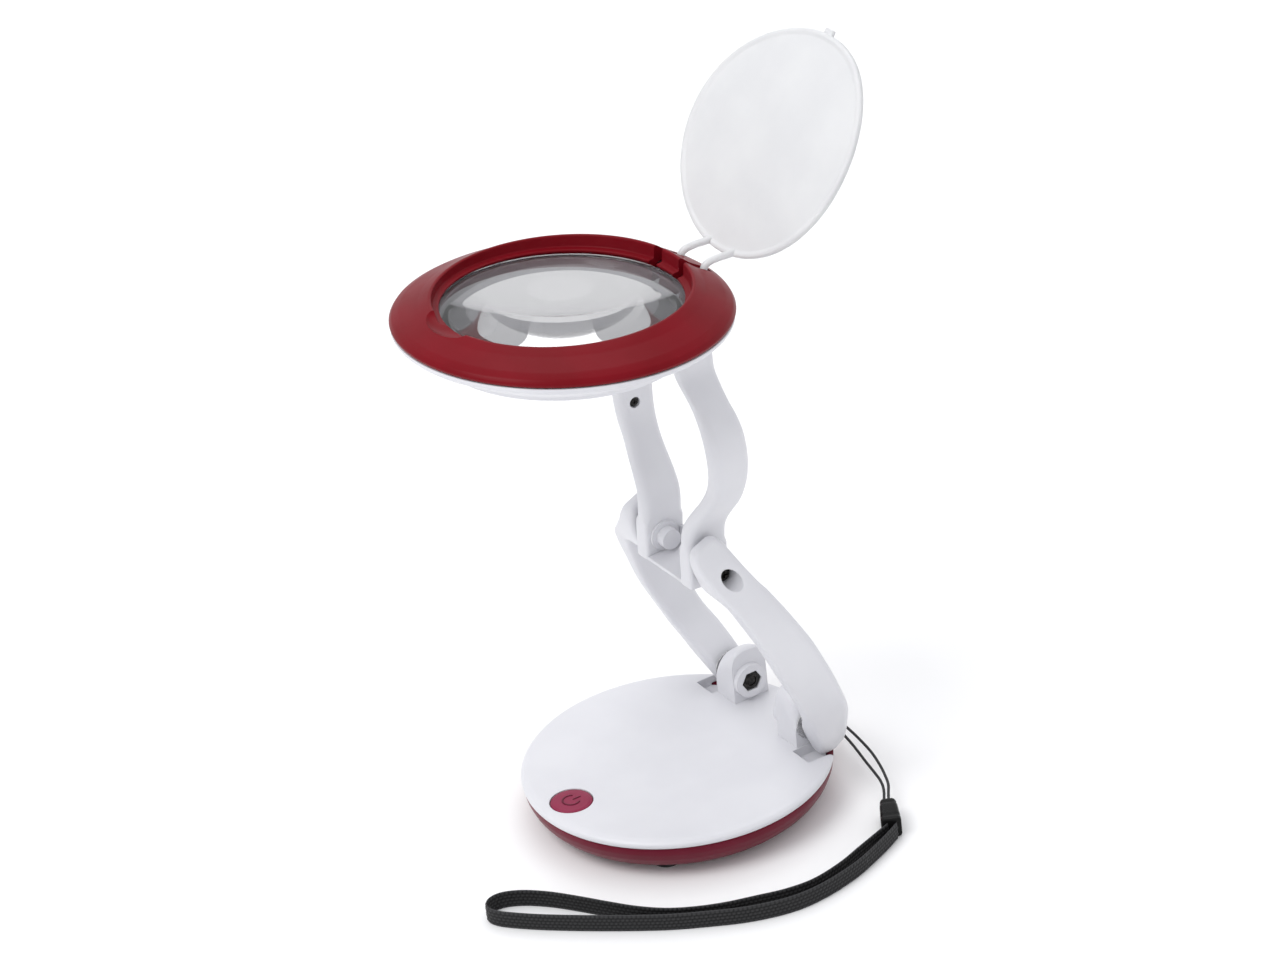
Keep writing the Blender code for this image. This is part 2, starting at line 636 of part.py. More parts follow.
def make_upper_arm_frame():
    """Both bars in one moulding, joined by the floor of the yoke, with a screw boss inside each cheek."""
    bars = []
    for name, sign in SIDES:
        sections = []
        for height, middle, across, front, rear in UPPER_BAR_ROWS:
            rounding = YOKE_ROUNDING if height < 8 else BAR_ROUNDING
            outline = rounded_rectangle(middle - across / 2, middle + across / 2, front, rear, rounding)
            sections.append([(sign * x, y, height) for x, y in outline])
        bars.append(loft(f"upper_bar_{name}", sections))
    frame, other = bars
    combine(frame, as_cutter(other, UPPER), "UNION")

    floor_outline = [(-7.4, -8.5), (-7.6, -7.0), (-3.4, -6.6), (1.2, -5.4), (5.0, -2.6), (7.2, 1.6), (8.7, 1.4),
                     (8.5, -8.3)]
    floor = loft("yoke_floor", [[(x, y, z) for y, z in floor_outline] for x in (-YOKE_INNER - 2, YOKE_INNER + 2)])
    combine(frame, as_cutter(floor, UPPER), "UNION")
    for name, sign in SIDES:
        collar = rod(f"elbow_collar_{name}", (sign * 9.9, 0, 0), (sign * 12.5, 0, 0), ELBOW_COLLAR_RADIUS, 24)
        combine(frame, as_cutter(collar, UPPER), "UNION")
        boss = rod(f"elbow_boss_{name}", (sign * 5.6, 0, 0), (sign * 12.5, 0, 0), ELBOW_BOSS_RADIUS, 24)
        combine(frame, as_cutter(boss, UPPER), "UNION")
    for name, sign in SIDES:
        bore = rod(f"elbow_screw_bore_{name}", (sign * 7.2, 0, 0), (sign * 22, 0, 0), 2.0, 16)
        combine(frame, as_cutter(bore, UPPER))
        pin_hole = rod(f"head_pin_hole_{name}", (sign * 9, 0, UPPER_LENGTH), (sign * 17.0, 0, UPPER_LENGTH), 2.3, 16)
        combine(frame, as_cutter(pin_hole, UPPER))
        screw_seat = rod(f"arm_screw_seat_{name}", (sign * 22, 0.6, 48.6), (sign * 29.2, 0.6, 48.6), 2.2, 16)
        combine(frame, as_cutter(screw_seat, UPPER))
        screw_bore = rod(f"arm_screw_bore_{name}", (sign * 27, 0.6, 48.6), (sign * 33.5, 0.6, 48.6), 1.3, 12)
        combine(frame, as_cutter(screw_bore, UPPER))
    finish(frame, "upper_arm_frame", WHITE_PLASTIC, UPPER)


def make_arm_hardware():
    for name, sign in SIDES:
        pivot = rod(f"elbow_screw_{name}", (sign * 7.5, 0, 0), (sign * 27.4, 0, 0), 1.7, 16)
        head = rod(f"elbow_screw_head_{name}", (sign * 27.1, 0, 0), (sign * 29.6, 0, 0), 2.9, 20)
        combine(pivot, as_cutter(head, UPPER), "UNION")
        for turn in (0, 90):
            across, high = (1.7, 0.35) if turn else (0.35, 1.7)
            xs = sorted((sign * 28.6, sign * 30.5))
            slot = box(f"elbow_screw_slot_{name}_{turn}", (xs[0], -across, -high), (xs[1], across, high))
            combine(pivot, as_cutter(slot, UPPER))
        finish(pivot, f"elbow_screw_{name}", BLACK_STEEL, UPPER)

        washer = rod(f"elbow_washer_{name}", (sign * 18.95, 0, 0), (sign * 19.45, 0, 0), 6.5, 24)
        bore = rod(f"elbow_washer_bore_{name}", (sign * 18, 0, 0), (sign * 21, 0, 0), 2.1, 16)
        combine(washer, as_cutter(bore, UPPER))
        finish(washer, f"elbow_washer_{name}", BRIGHT_STEEL, UPPER)

        screw = rod(f"arm_screw_{name}", (sign * 27.6, 0.6, 48.6), (sign * 28.9, 0.6, 48.6), 1.85, 16)
        shank = rod(f"arm_screw_shank_{name}", (sign * 28.7, 0.6, 48.6), (sign * 33.1, 0.6, 48.6), 1.0, 12)
        combine(screw, as_cutter(shank, UPPER), "UNION")
        finish(screw, f"arm_screw_{name}", BLACK_STEEL, UPPER)

    pin = rod("head_hinge_pin", (-16.6, 0, UPPER_LENGTH), (16.6, 0, UPPER_LENGTH), 2.0, 16)
    finish(pin, "head_hinge_pin", BRIGHT_STEEL, UPPER)


# ---------------------------------------------------------------- head

def raise_crest(obj):
    """Lifts the crest of the ring, and more so at its hinge side."""
    for vertex in obj.data.vertices:
        share = max(vertex.co.z, 0) / (CREST_HEIGHT * MM)
        vertex.co.z += (0.7 * MM + 1.6 * MM * vertex.co.y / (CREST_RADIUS * MM)) * share**2


def make_head_upper_ring():
    profile = [(CREST_RADIUS + 0.3, 8.8), (51.5, 6.8), (58.5, 3.9), (61.2, 2.3), (HEAD_RADIUS, 0.7), (61.6, -0.6),
               (60.2, -0.6), (58.6, 1.2), (49.6, 4.3), (47.3, 3.6), (47.3, -0.6), (45.5, -0.6), (45.5, 4.0),
               (44.0, 4.2), (44.0, 5.1), (46.3, 5.3), (46.6, CREST_HEIGHT - 0.2)]
    ring = turned("head_upper_ring", profile, ROUND_STEPS, closed=True)
    apply_modifiers(ring)
    raise_crest(ring)

    hinge_y, hinge_z = COVER_HINGE
    block = box("cover_hinge_block", (-13.2, hinge_y - 3.2, -0.5), (13.2, hinge_y + 2.6, 3.8))
    combine(ring, as_cutter(block, HEAD), "UNION")
    for name, sign in SIDES:
        xs = sorted((sign * (COVER_ROD_X - 2.1), sign * (COVER_ROD_X + 2.1)))
        slot = box(f"cover_slot_{name}", (xs[0], 43.0, -1.5), (xs[1], hinge_y + 2.5, 16))
        combine(ring, as_cutter(slot, HEAD))
    pin_hole = rod("cover_pin_hole", (-12.4, *COVER_HINGE), (12.4, *COVER_HINGE), 1.3, 12)
    combine(ring, as_cutter(pin_hole, HEAD))

    combine(ring, as_cutter(make_cover_sweep(), HEAD))
    scoop = mesh_object("thumb_scoop", build_thumb_scoop)
    combine(ring, as_cutter(scoop, HEAD))
    finish(ring, "head_upper_ring", RED_PLASTIC, HEAD)


def cover_bend(share):
    """How far the disc stands off its plane, at a share of its half length from its middle towards its tab."""
    square, cube = COVER_BEND
    return -square * share**2 - cube * share**3


def make_cover_sweep():
    """The room that the near edge of the disc needs in the ring's crest while the cover closes."""
    hinge_y, hinge_z = COVER_HINGE
    sections = []
    for x in range(-27, 28, 3):
        share = -math.sqrt(1 - (x / COVER_HALF_WIDTH) ** 2)
        near = COVER_CENTRE[0] + COVER_HALF_LENGTH * share
        upper_face = COVER_CENTRE[1] + cover_bend(share) + COVER_THICKNESS / 2
        reach = math.hypot(near, upper_face) - 0.45
        corner = math.degrees(math.atan2(upper_face, near))
        section = []
        for step in range(9):
            turn = 180 + corner - 9 * step
            y, z = on_circle(reach, turn)
            section.append((x, hinge_y + y, hinge_z + z))
        section += [(x, section[-1][1] + 0.2, 26), (x, 20, 26), (x, 20, section[0][2] + 0.1)]
        sections.append(section)
    return loft("cover_sweep", sections)


def build_thumb_scoop(bm):
    bmesh.ops.create_uvsphere(bm, u_segments=24, v_segments=12, radius=1.0)
    bmesh.ops.scale(bm, vec=Vector((13.0, 7.0, 4.6)) * MM, verts=bm.verts)
    bmesh.ops.translate(bm, vec=Vector((-2.0, -46.2, 9.0)) * MM, verts=bm.verts)


def head_hinge_in_head():
    """The head hinge axis as (y, z) in the head's own frame."""
    return -head_offset.y, -head_offset.z


def make_head_lower_shell():
    profile = [(61.8, -1.0), (61.6, -2.4), (60.2, -3.7), (51.5, -8.2), (47.0, -11.0), (46.0, -12.8),
               (45.2, -12.8), (45.2, -7.0), (39.8, -7.0), (39.8, -12.8), (38.2, -12.8), (38.4, -5.8),
               (42.6, -2.4), (42.9, -1.3), (47.2, -1.3), (47.6, -4.8), (52.0, -6.0), (58.8, -2.6), (59.6, -1.0)]
    shell = turned("head_lower_shell", profile, ROUND_STEPS, closed=True)
    hinge_y, hinge_z = head_hinge_in_head()
    for name, sign in SIDES:
        outline = [(-7.6, 14.6)]
        outline += [(7.6 * math.cos(a), 7.6 * math.sin(a)) for a in
                    (math.pi + math.pi * step / 8 for step in range(9))]
        outline += [(7.6, 14.6)]
        lug = loft(f"head_lug_{name}",
                   [[(sign * x, hinge_y + y, hinge_z + z) for y, z in outline] for x in (3.4, YOKE_INNER - 0.5)])
        opening = rod(f"head_lug_opening_{name}", (0, 0, -13.3), (0, 0, 0), 45.6, 56)
        combine(lug, as_cutter(opening, HEAD))
        combine(shell, as_cutter(lug, HEAD), "UNION")
    hole = rod("head_lug_hole", (-12, hinge_y, hinge_z), (12, hinge_y, hinge_z), 2.3, 16)
    combine(shell, as_cutter(hole, HEAD))
    finish(shell, "head_lower_shell", WHITE_PLASTIC, HEAD)


def dome(radius, rise, count):
    """Points of a shallow spherical cap from its middle to its edge, as (radius, height)."""
    ball = (radius**2 + rise**2) / (2 * rise)
    return [(radius * i / count, math.sqrt(ball**2 - (radius * i / count) ** 2) - ball + rise)
            for i in range(count + 1)]


def make_lens():
    rim = LENS_RADIUS
    top = [(r, LENS_EDGE_TOP + z) for r, z in dome(rim, LENS_TOP_RISE, 4)]
    bottom_cap = dome(42.0, LENS_BOTTOM_DROP, 5)
    bottom = [(r, LENS_EDGE_LOW - z) for r, z in reversed(bottom_cap)]
    lens = turned("lens", top + [(rim, LENS_EDGE_LOW)] + bottom, 40)
    finish(lens, "lens", LENS_ACRYLIC, HEAD)


def make_lighting():
    ring_profile = [(44.9, -7.3), (44.9, -8.3), (40.1, -8.3), (40.1, -7.3)]
    finish(turned("led_board", ring_profile, 28, closed=True), "led_board", CIRCUIT_BOARD, HEAD)
    diffuser_profile = [(44.9, -11.2), (44.9, -12.6), (40.1, -12.6), (40.1, -11.2)]
    finish(turned("led_diffuser", diffuser_profile, 28, closed=True), "led_diffuser", FROSTED_PLASTIC, HEAD)
    count = 6
    for number in range(count):
        x, y = on_circle(42.5, 360 / count * number + 30)
        led = box(f"led_{number + 1}", (-1.4, -1.6, -9.6), (1.4, 1.6, -8.6))
        finish(led, f"led_{number + 1}", LED_RESIN, HEAD)
        led.location = Vector((x, y, 0)) * MM
        led.rotation_euler.z = math.radians(360 / count * number + 30)


# ---------------------------------------------------------------- cover

def make_cover_rod(name, sign):
    """A round rod that rises from the hinge barrel, turns rearward over the ring and meets the disc."""
    turn = math.radians(COVER_OPEN_ANGLE)
    route = [(y * math.cos(turn) + z * math.sin(turn), z * math.cos(turn) - y * math.sin(turn))
             for y, z in COVER_ROD_ROUTE]
    points = smooth_rows([list(p) for p in route], 2)
    sections = []
    for i, (y, z) in enumerate(points):
        ahead = points[min(i + 1, len(points) - 1)]
        behind = points[max(i - 1, 0)]
        slope = math.atan2(ahead[1] - behind[1], ahead[0] - behind[0])
        radius = COVER_ROD_RADIUS if i < len(points) - 1 else 0.9
        ring = []
        for step in range(10):
            angle = 2 * math.pi * (step + 0.37) / 10
            lift = radius * math.sin(angle)
            ring.append((sign * COVER_ROD_X + radius * math.cos(angle),
                         y - lift * math.sin(slope), z + lift * math.cos(slope)))
        sections.append(ring)
    return loft(f"cover_rod_{name}", sections)


def make_cover():
    """Frosted disc with a thicker edge, a finger tab and two bent rods ending in barrels on the pin."""
    half = COVER_THICKNESS / 2
    middle_y, middle_z = COVER_CENTRE
    edge = COVER_HALF_LENGTH
    rings = (12.0, 22.0, 31.0, 38.0)
    upper = [(0, half - 0.6)] + [(r, half - 0.6) for r in rings] + [(edge - 2.6, half - 0.6), (edge - 1.4, half)]
    lower = [(edge - 0.5, -half)] + [(r, -half - 0.1) for r in reversed(rings)] + [(0, -half - 0.1)]
    profile = upper + [(edge - 0.4, half), (edge, half - 0.5), (edge, 0.5 - half)] + lower
    cover = turned("cover", profile, ROUND_STEPS)
    apply_modifiers(cover)
    for vertex in cover.data.vertices:
        share = vertex.co.y / (edge * MM)
        vertex.co.x *= COVER_HALF_WIDTH / edge
        vertex.co += Vector((0, middle_y, middle_z + cover_bend(share))) * MM
    far = middle_y + edge
    tab_z = middle_z + cover_bend(1)
    tab = box("cover_tab", (-2.6, far - 2, 0.3 - half + tab_z), (2.6, far + 2.0, tab_z + half - 0.3), 0.7)
    combine(cover, as_cutter(tab, COVER), "UNION")
    for name, sign in SIDES:
        stem = make_cover_rod(name, sign)
        combine(cover, as_cutter(stem, COVER), "UNION")
        barrel = rod(f"cover_barrel_{name}", (sign * (COVER_ROD_X - 1.8), 0, 0), (sign * (COVER_ROD_X + 1.8), 0, 0),
                     2.1, 16)
        combine(cover, as_cutter(barrel, COVER), "UNION")
    bore = rod("cover_barrel_bore", (-12, 0, 0), (12, 0, 0), 1.25, 12)
    combine(cover, as_cutter(bore, COVER))
    finish(cover, "cover", FROSTED_PLASTIC, COVER)

    pin = rod("cover_hinge_pin", (-12.0, *COVER_HINGE), (12.0, *COVER_HINGE), 0.95, 12)
    finish(pin, "cover_hinge_pin", BRIGHT_STEEL, HEAD)


# ---------------------------------------------------------------- strap

EYE = (0.0, 61.4, 9.9)  # middle of the cord's hole in the eye at the back of the base
CORD_DIAMETER = 1.1
CORD_ROUTE = (
    (64.3, 52.2, 6.3), (61.0, 54.5, 6.7), (56.6, 57.6, 7.1), (51.6, 59.8, 7.5), (45.6, 61.8, 8.3),
    (36.7, 64.0, 9.2), (26.4, 65.2, 10.2), (17.0, 66.0, 10.6), (8.0, 66.4, 10.5), (0.0, 66.5, 10.3),
    (-4.4, 66.3, 10.1), (-6.6, 65.4, 10.0), (-7.4, 63.8, 9.9), (-6.6, 62.2, 9.9), (-4.4, 61.4, 9.9),
    (0.0, 61.4, 9.9),
    (10.0, 62.6, 10.2), (19.0, 62.7, 10.0), (29.6, 61.0, 9.6), (39.6, 59.0, 8.8), (46.6, 57.9, 7.9),
    (52.4, 56.9, 7.0), (57.8, 54.6, 6.5), (63.4, 50.7, 6.0),
)
BAND_WIDTH = 7.0
BAND_THICKNESS = 1.1
BAND_ROUTE = (
    (79.9, 44.7), (83.0, 38.6), (86.6, 30.4), (91.0, 18.4), (94.0, 3.0), (93.8, -11.4), (88.9, -26.8),
    (81.0, -40.9), (72.0, -54.4), (58.4, -70.8), (44.8, -85.6), (35.4, -94.6), (28.6, -99.8), (23.6, -100.8),
    (20.2, -97.8), (19.9, -92.4), (23.8, -85.6), (31.2, -78.6), (41.0, -71.8), (51.2, -65.4), (61.0, -58.8),
    (69.4, -51.2), (75.8, -42.2), (80.6, -32.8), (84.6, -21.8), (88.2, -11.0), (89.6, 0.4), (87.4, 13.6),
    (83.6, 25.0), (80.5, 34.4), (78.1, 41.8),
)


def make_tube(name, points, diameter, spec, frame):
    """A round cord as a bevelled polyline, with closed ends."""
    curve = bpy.data.curves.new(name, "CURVE")
    curve.dimensions = "3D"
    curve.bevel_depth = diameter / 2 * MM
    curve.bevel_resolution = 2
    curve.use_fill_caps = True
    spline = curve.splines.new("POLY")
    spline.points.add(len(points) - 1)
    for point, place in zip(spline.points, points):
        point.co = (*(Vector(place) * MM), 1.0)
    obj = bpy.data.objects.new(name, curve)
    PARTS.objects.link(obj)
    return finish(obj, name, spec, frame)


def make_strap():
    cord_points = smooth_rows([list(p) for p in CORD_ROUTE], 2)
    make_tube("strap_cord", cord_points, CORD_DIAMETER, BLACK_WEBBING, BASE)

    slider_sections = []
    start, end = Vector((64.7, 51.4, 4.5)), Vector((78.4, 43.4, 4.3))
    along = (end - start).normalized()
    across = along.cross(Vector((0, 0, 1))).normalized()
    upward = across.cross(along)
    for share, wide, high in ((0.0, 2.4, 2.9), (0.06, 3.0, 3.5), (0.5, 3.6, 3.9), (0.94, 3.9, 4.1), (1.0, 3.4, 3.7)):
        middle = start.lerp(end, share)
        outline = rounded_rectangle(-wide, wide, -high, high, 1.2, 2)
        slider_sections.append([middle + across * x + upward * y for x, y in outline])
    slider = loft("strap_slider", slider_sections)
    finish(slider, "strap_slider", BLACK_PLASTIC, BASE)

    path = smooth_rows([list(p) for p in BAND_ROUTE], 2)
    sections = []
    for i, (x, y) in enumerate(path):
        ahead = path[min(i + 1, len(path) - 1)]
        behind = path[max(i - 1, 0)]
        side = Vector((ahead[1] - behind[1], behind[0] - ahead[0], 0)).normalized() * BAND_THICKNESS / 2
        place = Vector((x, y, 0))
        low, high = Vector((0, 0, 0.1)), Vector((0, 0, 0.1 + BAND_WIDTH))
        sections.append([place - side + low, place + side + low, place + side + high, place - side + high])
    finish(loft("strap_band", sections), "strap_band", BLACK_WEBBING, BASE)


make_base_lower_shell()
make_base_top_plate()
make_base_screws()
make_feet()
make_battery_bay()
make_button_and_switch()
make_base_hinge_hardware()
for arm_side in SIDES:
    make_lower_arm_bar(arm_side)
make_upper_arm_frame()
make_arm_hardware()
make_head_upper_ring()
make_head_lower_shell()
make_lens()
make_lighting()
make_cover()
make_strap()
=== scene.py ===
"""Folding LED desk magnifier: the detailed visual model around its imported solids.

Lengths below are in millimetres and become metres where a mesh is made.
"""

import math

import bmesh
import bpy
from mathutils import Matrix, Vector


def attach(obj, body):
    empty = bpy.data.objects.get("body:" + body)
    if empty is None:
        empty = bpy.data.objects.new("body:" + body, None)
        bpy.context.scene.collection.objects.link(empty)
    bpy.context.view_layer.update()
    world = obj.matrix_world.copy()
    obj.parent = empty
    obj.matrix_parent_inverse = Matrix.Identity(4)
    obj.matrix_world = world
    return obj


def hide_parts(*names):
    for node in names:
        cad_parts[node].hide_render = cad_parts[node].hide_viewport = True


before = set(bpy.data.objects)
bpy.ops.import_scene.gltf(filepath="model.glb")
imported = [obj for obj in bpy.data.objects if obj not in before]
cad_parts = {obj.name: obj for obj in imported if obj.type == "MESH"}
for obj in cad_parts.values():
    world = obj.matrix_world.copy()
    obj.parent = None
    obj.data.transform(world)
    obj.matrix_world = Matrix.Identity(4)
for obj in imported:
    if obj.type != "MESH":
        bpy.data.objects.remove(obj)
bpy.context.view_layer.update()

MM = 0.001
GAP = 0.3  # clearance between touching pieces
ROUND_STEPS = 168  # facets round the base, the head and the cover

# Base
BASE_RADIUS = 60.0
FLOOR_PAD = 1.3  # height of the rubber feet
SHELL_BOTTOM = 1.6
SHELL_TOP = 14.7
TOP_PLATE_UNDER = 15.2
BASE_TOP = 18.0
FOOT_RADIUS = 5.5
FOOT_CIRCLE = 44.5
FOOT_ANGLES = (40, 140, 220, 320)
BASE_SCREW_CIRCLE = 40.0
BASE_SCREW_ANGLES = (90, 210, 330)
BAY_HALF_WIDTH = 18.6
BAY_HALF_LENGTH = 28.6

# Power button
BUTTON_Y = -47.6
BUTTON_RADIUS = 8.1

# Joints, as (y, z) of each hinge axis, which runs along X
BASE_HINGE = (44.0, 26.8)
ELBOW = (12.0, 105.5)
HEAD_HINGE = (17.0, 190.3)
HEAD_CENTRE = (-25.34, 216.34)
HEAD_TILT = 4.8  # degrees, front edge up
COVER_HINGE = (55.2, 1.8)  # in the head's own (y, z)
COVER_OPEN_ANGLE = 57.3  # degrees, above the head's +Y

# Base lugs and hinge hardware
LUG_INNER = 14.8
LUG_OUTER = 27.3
LUG_FRONT = 37.0
LUG_REAR = 52.4
LUG_TOP = 40.2
LUG_SQUARENESS = 0.72  # 1 is a true half ellipse, less is squarer
BOSS_INNER = 12.3
BOSS_RADIUS = 6.9
NUT_RADIUS = 4.04
BOLT_RADIUS = 1.9
BAR_FACE = 28.3  # inner face of the lower arm at the base hinge
HOLE_CLEARANCE = 0.4  # added to the radius of a bolt or nut for its hole

# Notches in the base for the feet of the arm
NOTCH_INNER = 27.8
NOTCH_OUTER = 38.6
NOTCH_FRONT = 34.6
NOTCH_FLOOR = 14.1

# Elbow
YOKE_INNER = 11.1
KNUCKLE_FACE = 19.7  # inner face of the lower arm at the elbow
ELBOW_BOSS_RADIUS = 4.0
ELBOW_COLLAR_RADIUS = 6.0
ARM_SCREW = (0.6, 48.6)  # (y, z) of the small screw in each upper bar
PIN_HOLE_RADIUS = 2.3

# Head
HEAD_RADIUS = 62.2
CREST_RADIUS = 47.3
CREST_HEIGHT = 8.9
LENS_RADIUS = 45.0
LENS_EDGE_LOW = -0.9
LENS_EDGE_TOP = 3.7
LENS_TOP_RISE = 3.9
LENS_BOTTOM_DROP = 9.0

# Cover, in its own frame: +Y from the hinge along the disc, -Z towards its outer face
COVER_HALF_WIDTH = 47.2
COVER_HALF_LENGTH = 43.8
COVER_CENTRE = (54.45, -5.8)
COVER_BEND = (3.4, 1.15)  # how far the ends of the disc leave its plane, as squared and cubed shares
COVER_THICKNESS = 2.2
COVER_ROD_X = 7.6
COVER_ROD_RADIUS = 1.4
# Route of each rod from the hinge axis to the disc, as (y, z) along the head's own axes
COVER_ROD_ROUTE = ((0.0, 0.6), (0.1, 2.9), (0.9, 4.7), (3.0, 5.8), (6.4, 6.3), (9.8, 6.4), (12.0, 6.5),
                   (13.7, 6.5))

SIDES = (("left", -1), ("right", 1))


# ---------------------------------------------------------------- camera, floor and light

CAMERA_AZIMUTH = 60.50  # degrees
CAMERA_ELEVATION = 28.81
CAMERA_ROLL = -6.76
CAMERA_DISTANCE = 1.65467  # metres from the target
CAMERA_TARGET = (-0.000784, -0.001385, 0.13837)
CAMERA_LENS = 126.56
SENSOR_WIDTH = 36.0


def make_camera():
    azimuth, elevation, roll = (math.radians(a) for a in (CAMERA_AZIMUTH, CAMERA_ELEVATION, CAMERA_ROLL))
    back = Vector((math.sin(azimuth) * math.cos(elevation), -math.cos(azimuth) * math.cos(elevation),
                   math.sin(elevation)))
    level = Vector((math.cos(azimuth), math.sin(azimuth), 0))
    upright = back.cross(level)
    right = math.cos(roll) * level + math.sin(roll) * upright
    up = -math.sin(roll) * level + math.cos(roll) * upright
    data = bpy.data.cameras.new("camera")
    data.lens = CAMERA_LENS
    data.sensor_width = SENSOR_WIDTH
    data.clip_end = 20
    camera = bpy.data.objects.new("camera", data)
    bpy.context.scene.collection.objects.link(camera)
    matrix = Matrix((right, up, back)).transposed().to_4x4()
    matrix.translation = Vector(CAMERA_TARGET) + back * CAMERA_DISTANCE
    camera.matrix_world = matrix
    bpy.context.scene.camera = camera


def make_light(name, place, aim, size, energy, colour=(1, 1, 1)):
    data = bpy.data.lights.new(name, "AREA")
    data.shape = "DISK"
    data.size = size
    data.energy = energy
    data.color = colour
    light = bpy.data.objects.new(name, data)
    bpy.context.scene.collection.objects.link(light)
    light.location = place
    light.rotation_euler = (Vector(aim) - Vector(place)).to_track_quat("-Z", "Y").to_euler()


def make_studio():
    world = bpy.data.worlds.new("studio")
    world.use_nodes = True
    world.node_tree.nodes["Background"].inputs["Color"].default_value = (0.97, 0.975, 1.0, 1.0)
    world.node_tree.nodes["Background"].inputs["Strength"].default_value = 0.86
    bpy.context.scene.world = world
    bpy.context.scene.view_settings.view_transform = "Standard"
    middle = (0, 0, 0.13)
    make_light("key_light", (0.1, -1.0, 1.5), middle, 1.0, 11)
    make_light("top_light", (-0.6, 0.5, 1.7), middle, 1.2, 6)


def make_floor():
    mesh = bpy.data.meshes.new("floor")
    half = 6.0
    corners = [(-half, -half, 0), (half, -half, 0), (half, half, 0), (-half, half, 0)]
    mesh.from_pydata(corners, [], [(0, 1, 2, 3)])
    floor = bpy.data.objects.new("floor", mesh)
    bpy.context.scene.collection.objects.link(floor)
    material = new_material("floor_paper", (0.97, 0.97, 0.97), 0.9)
    add_bump(material, 300.0, 0.05, 0.0001)
    floor.data.materials.append(material)


# ---------------------------------------------------------------- materials

def new_material(name, colour, roughness, metallic=0.0):
    material = bpy.data.materials.new(name)
    material.use_nodes = True
    shader = material.node_tree.nodes["Principled BSDF"]
    shader.inputs["Base Color"].default_value = (*colour, 1.0)
    shader.inputs["Roughness"].default_value = roughness
    shader.inputs["Metallic"].default_value = metallic
    return material


def shader_of(material):
    return material.node_tree.nodes["Principled BSDF"]


def tune(material, settings):
    """Sets the shader's own inputs, each by its name."""
    for name, value in settings.items():
        shader_of(material).inputs[name].default_value = value


def add_node(material, kind, **inputs):
    node = material.node_tree.nodes.new(kind)
    for key, value in inputs.items():
        node.inputs[key.replace("_", " ")].default_value = value
    return node


def join(material, source, target):
    material.node_tree.links.new(source, target)


def object_noise(material, scale, detail=3.0, stretch=(1, 1, 1)):
    """Noise fixed to the object, its scale in features per metre."""
    place = add_node(material, "ShaderNodeTexCoord")
    mapping = add_node(material, "ShaderNodeMapping")
    mapping.inputs["Scale"].default_value = stretch
    noise = add_node(material, "ShaderNodeTexNoise", Scale=scale, Detail=detail)
    join(material, place.outputs["Object"], mapping.inputs["Vector"])
    join(material, mapping.outputs["Vector"], noise.inputs["Vector"])
    return noise


def add_bump(material, scale, strength, distance, soften=0.0, stretch=(1, 1, 1)):
    """Fine surface grain, over edges softened by the given radius in metres."""
    bump = add_node(material, "ShaderNodeBump", Strength=strength, Distance=distance)
    join(material, object_noise(material, scale, stretch=stretch).outputs["Fac"], bump.inputs["Height"])
    if soften:
        edges = add_node(material, "ShaderNodeBevel", Radius=soften)
        edges.samples = 4
        join(material, edges.outputs["Normal"], bump.inputs["Normal"])
    join(material, bump.outputs["Normal"], shader_of(material).inputs["Normal"])


def vary_colour(material, scale, low, high, stretch=(1, 1, 1)):
    ramp = add_node(material, "ShaderNodeValToRGB")
    ramp.color_ramp.elements[0].position = 0.35
    ramp.color_ramp.elements[0].color = (*low, 1.0)
    ramp.color_ramp.elements[1].position = 0.65
    ramp.color_ramp.elements[1].color = (*high, 1.0)
    join(material, object_noise(material, scale, stretch=stretch).outputs["Fac"], ramp.inputs["Fac"])
    join(material, ramp.outputs["Color"], shader_of(material).inputs["Base Color"])


def vary_roughness(material, scale, low, high, stretch=(1, 1, 1)):
    spread = add_node(material, "ShaderNodeMapRange", To_Min=low, To_Max=high)
    join(material, object_noise(material, scale, stretch=stretch).outputs["Fac"], spread.inputs["Value"])
    join(material, spread.outputs["Result"], shader_of(material).inputs["Roughness"])


def moulded_plastic(name, low, high, roughness, soften=0.0004):
    """Moulded plastic: faint mottling, uneven gloss and the fine grain of a polished mould."""
    material = new_material(name, high, roughness)
    vary_colour(material, 45.0, low, high)
    vary_roughness(material, 160.0, roughness - 0.05, roughness + 0.07)
    add_bump(material, 2600.0, 0.10, 0.00004, soften)
    return material


def glossy_plastic(name, low, high, roughness, specular):
    """Moulded plastic with its own strength of mirror reflection."""
    material = moulded_plastic(name, low, high, roughness)
    tune(material, {"Specular IOR Level": specular})
    return material


def make_white():
    material = moulded_plastic("fine_white_plastic", (0.675, 0.675, 0.705), (0.70, 0.70, 0.728), 0.36)
    tune(material, {"Subsurface Weight": 0.12, "Subsurface Radius": (0.004, 0.004, 0.0045)})
    return material


def make_frosted():
    """Milky plastic that lets a soft light through."""
    low, high = (0.80, 0.805, 0.815), (0.84, 0.845, 0.85)
    material = moulded_plastic("fine_frosted_plastic", low, high, 0.42, 0.0002)
    tune(material, {"Transmission Weight": 0.30, "IOR": 1.49})
    tune(material, {"Subsurface Weight": 0.25, "Subsurface Radius": (0.005, 0.005, 0.005)})
    return material


def make_acrylic():
    material = new_material("fine_lens_acrylic", (0.52, 0.52, 0.525), 0.0)
    tune(material, {"Transmission Weight": 1.0, "IOR": 1.49})
    vary_roughness(material, 60.0, 0.0, 0.012)
    return material


def make_metal(name, low, high, roughness):
    material = new_material(name, high, roughness, 1.0)
    vary_colour(material, 900.0, low, high)
    vary_roughness(material, 1500.0, roughness - 0.08, roughness + 0.12)
    add_bump(material, 4000.0, 0.15, 0.00005, 0.0002, (1, 1, 6))
    return material


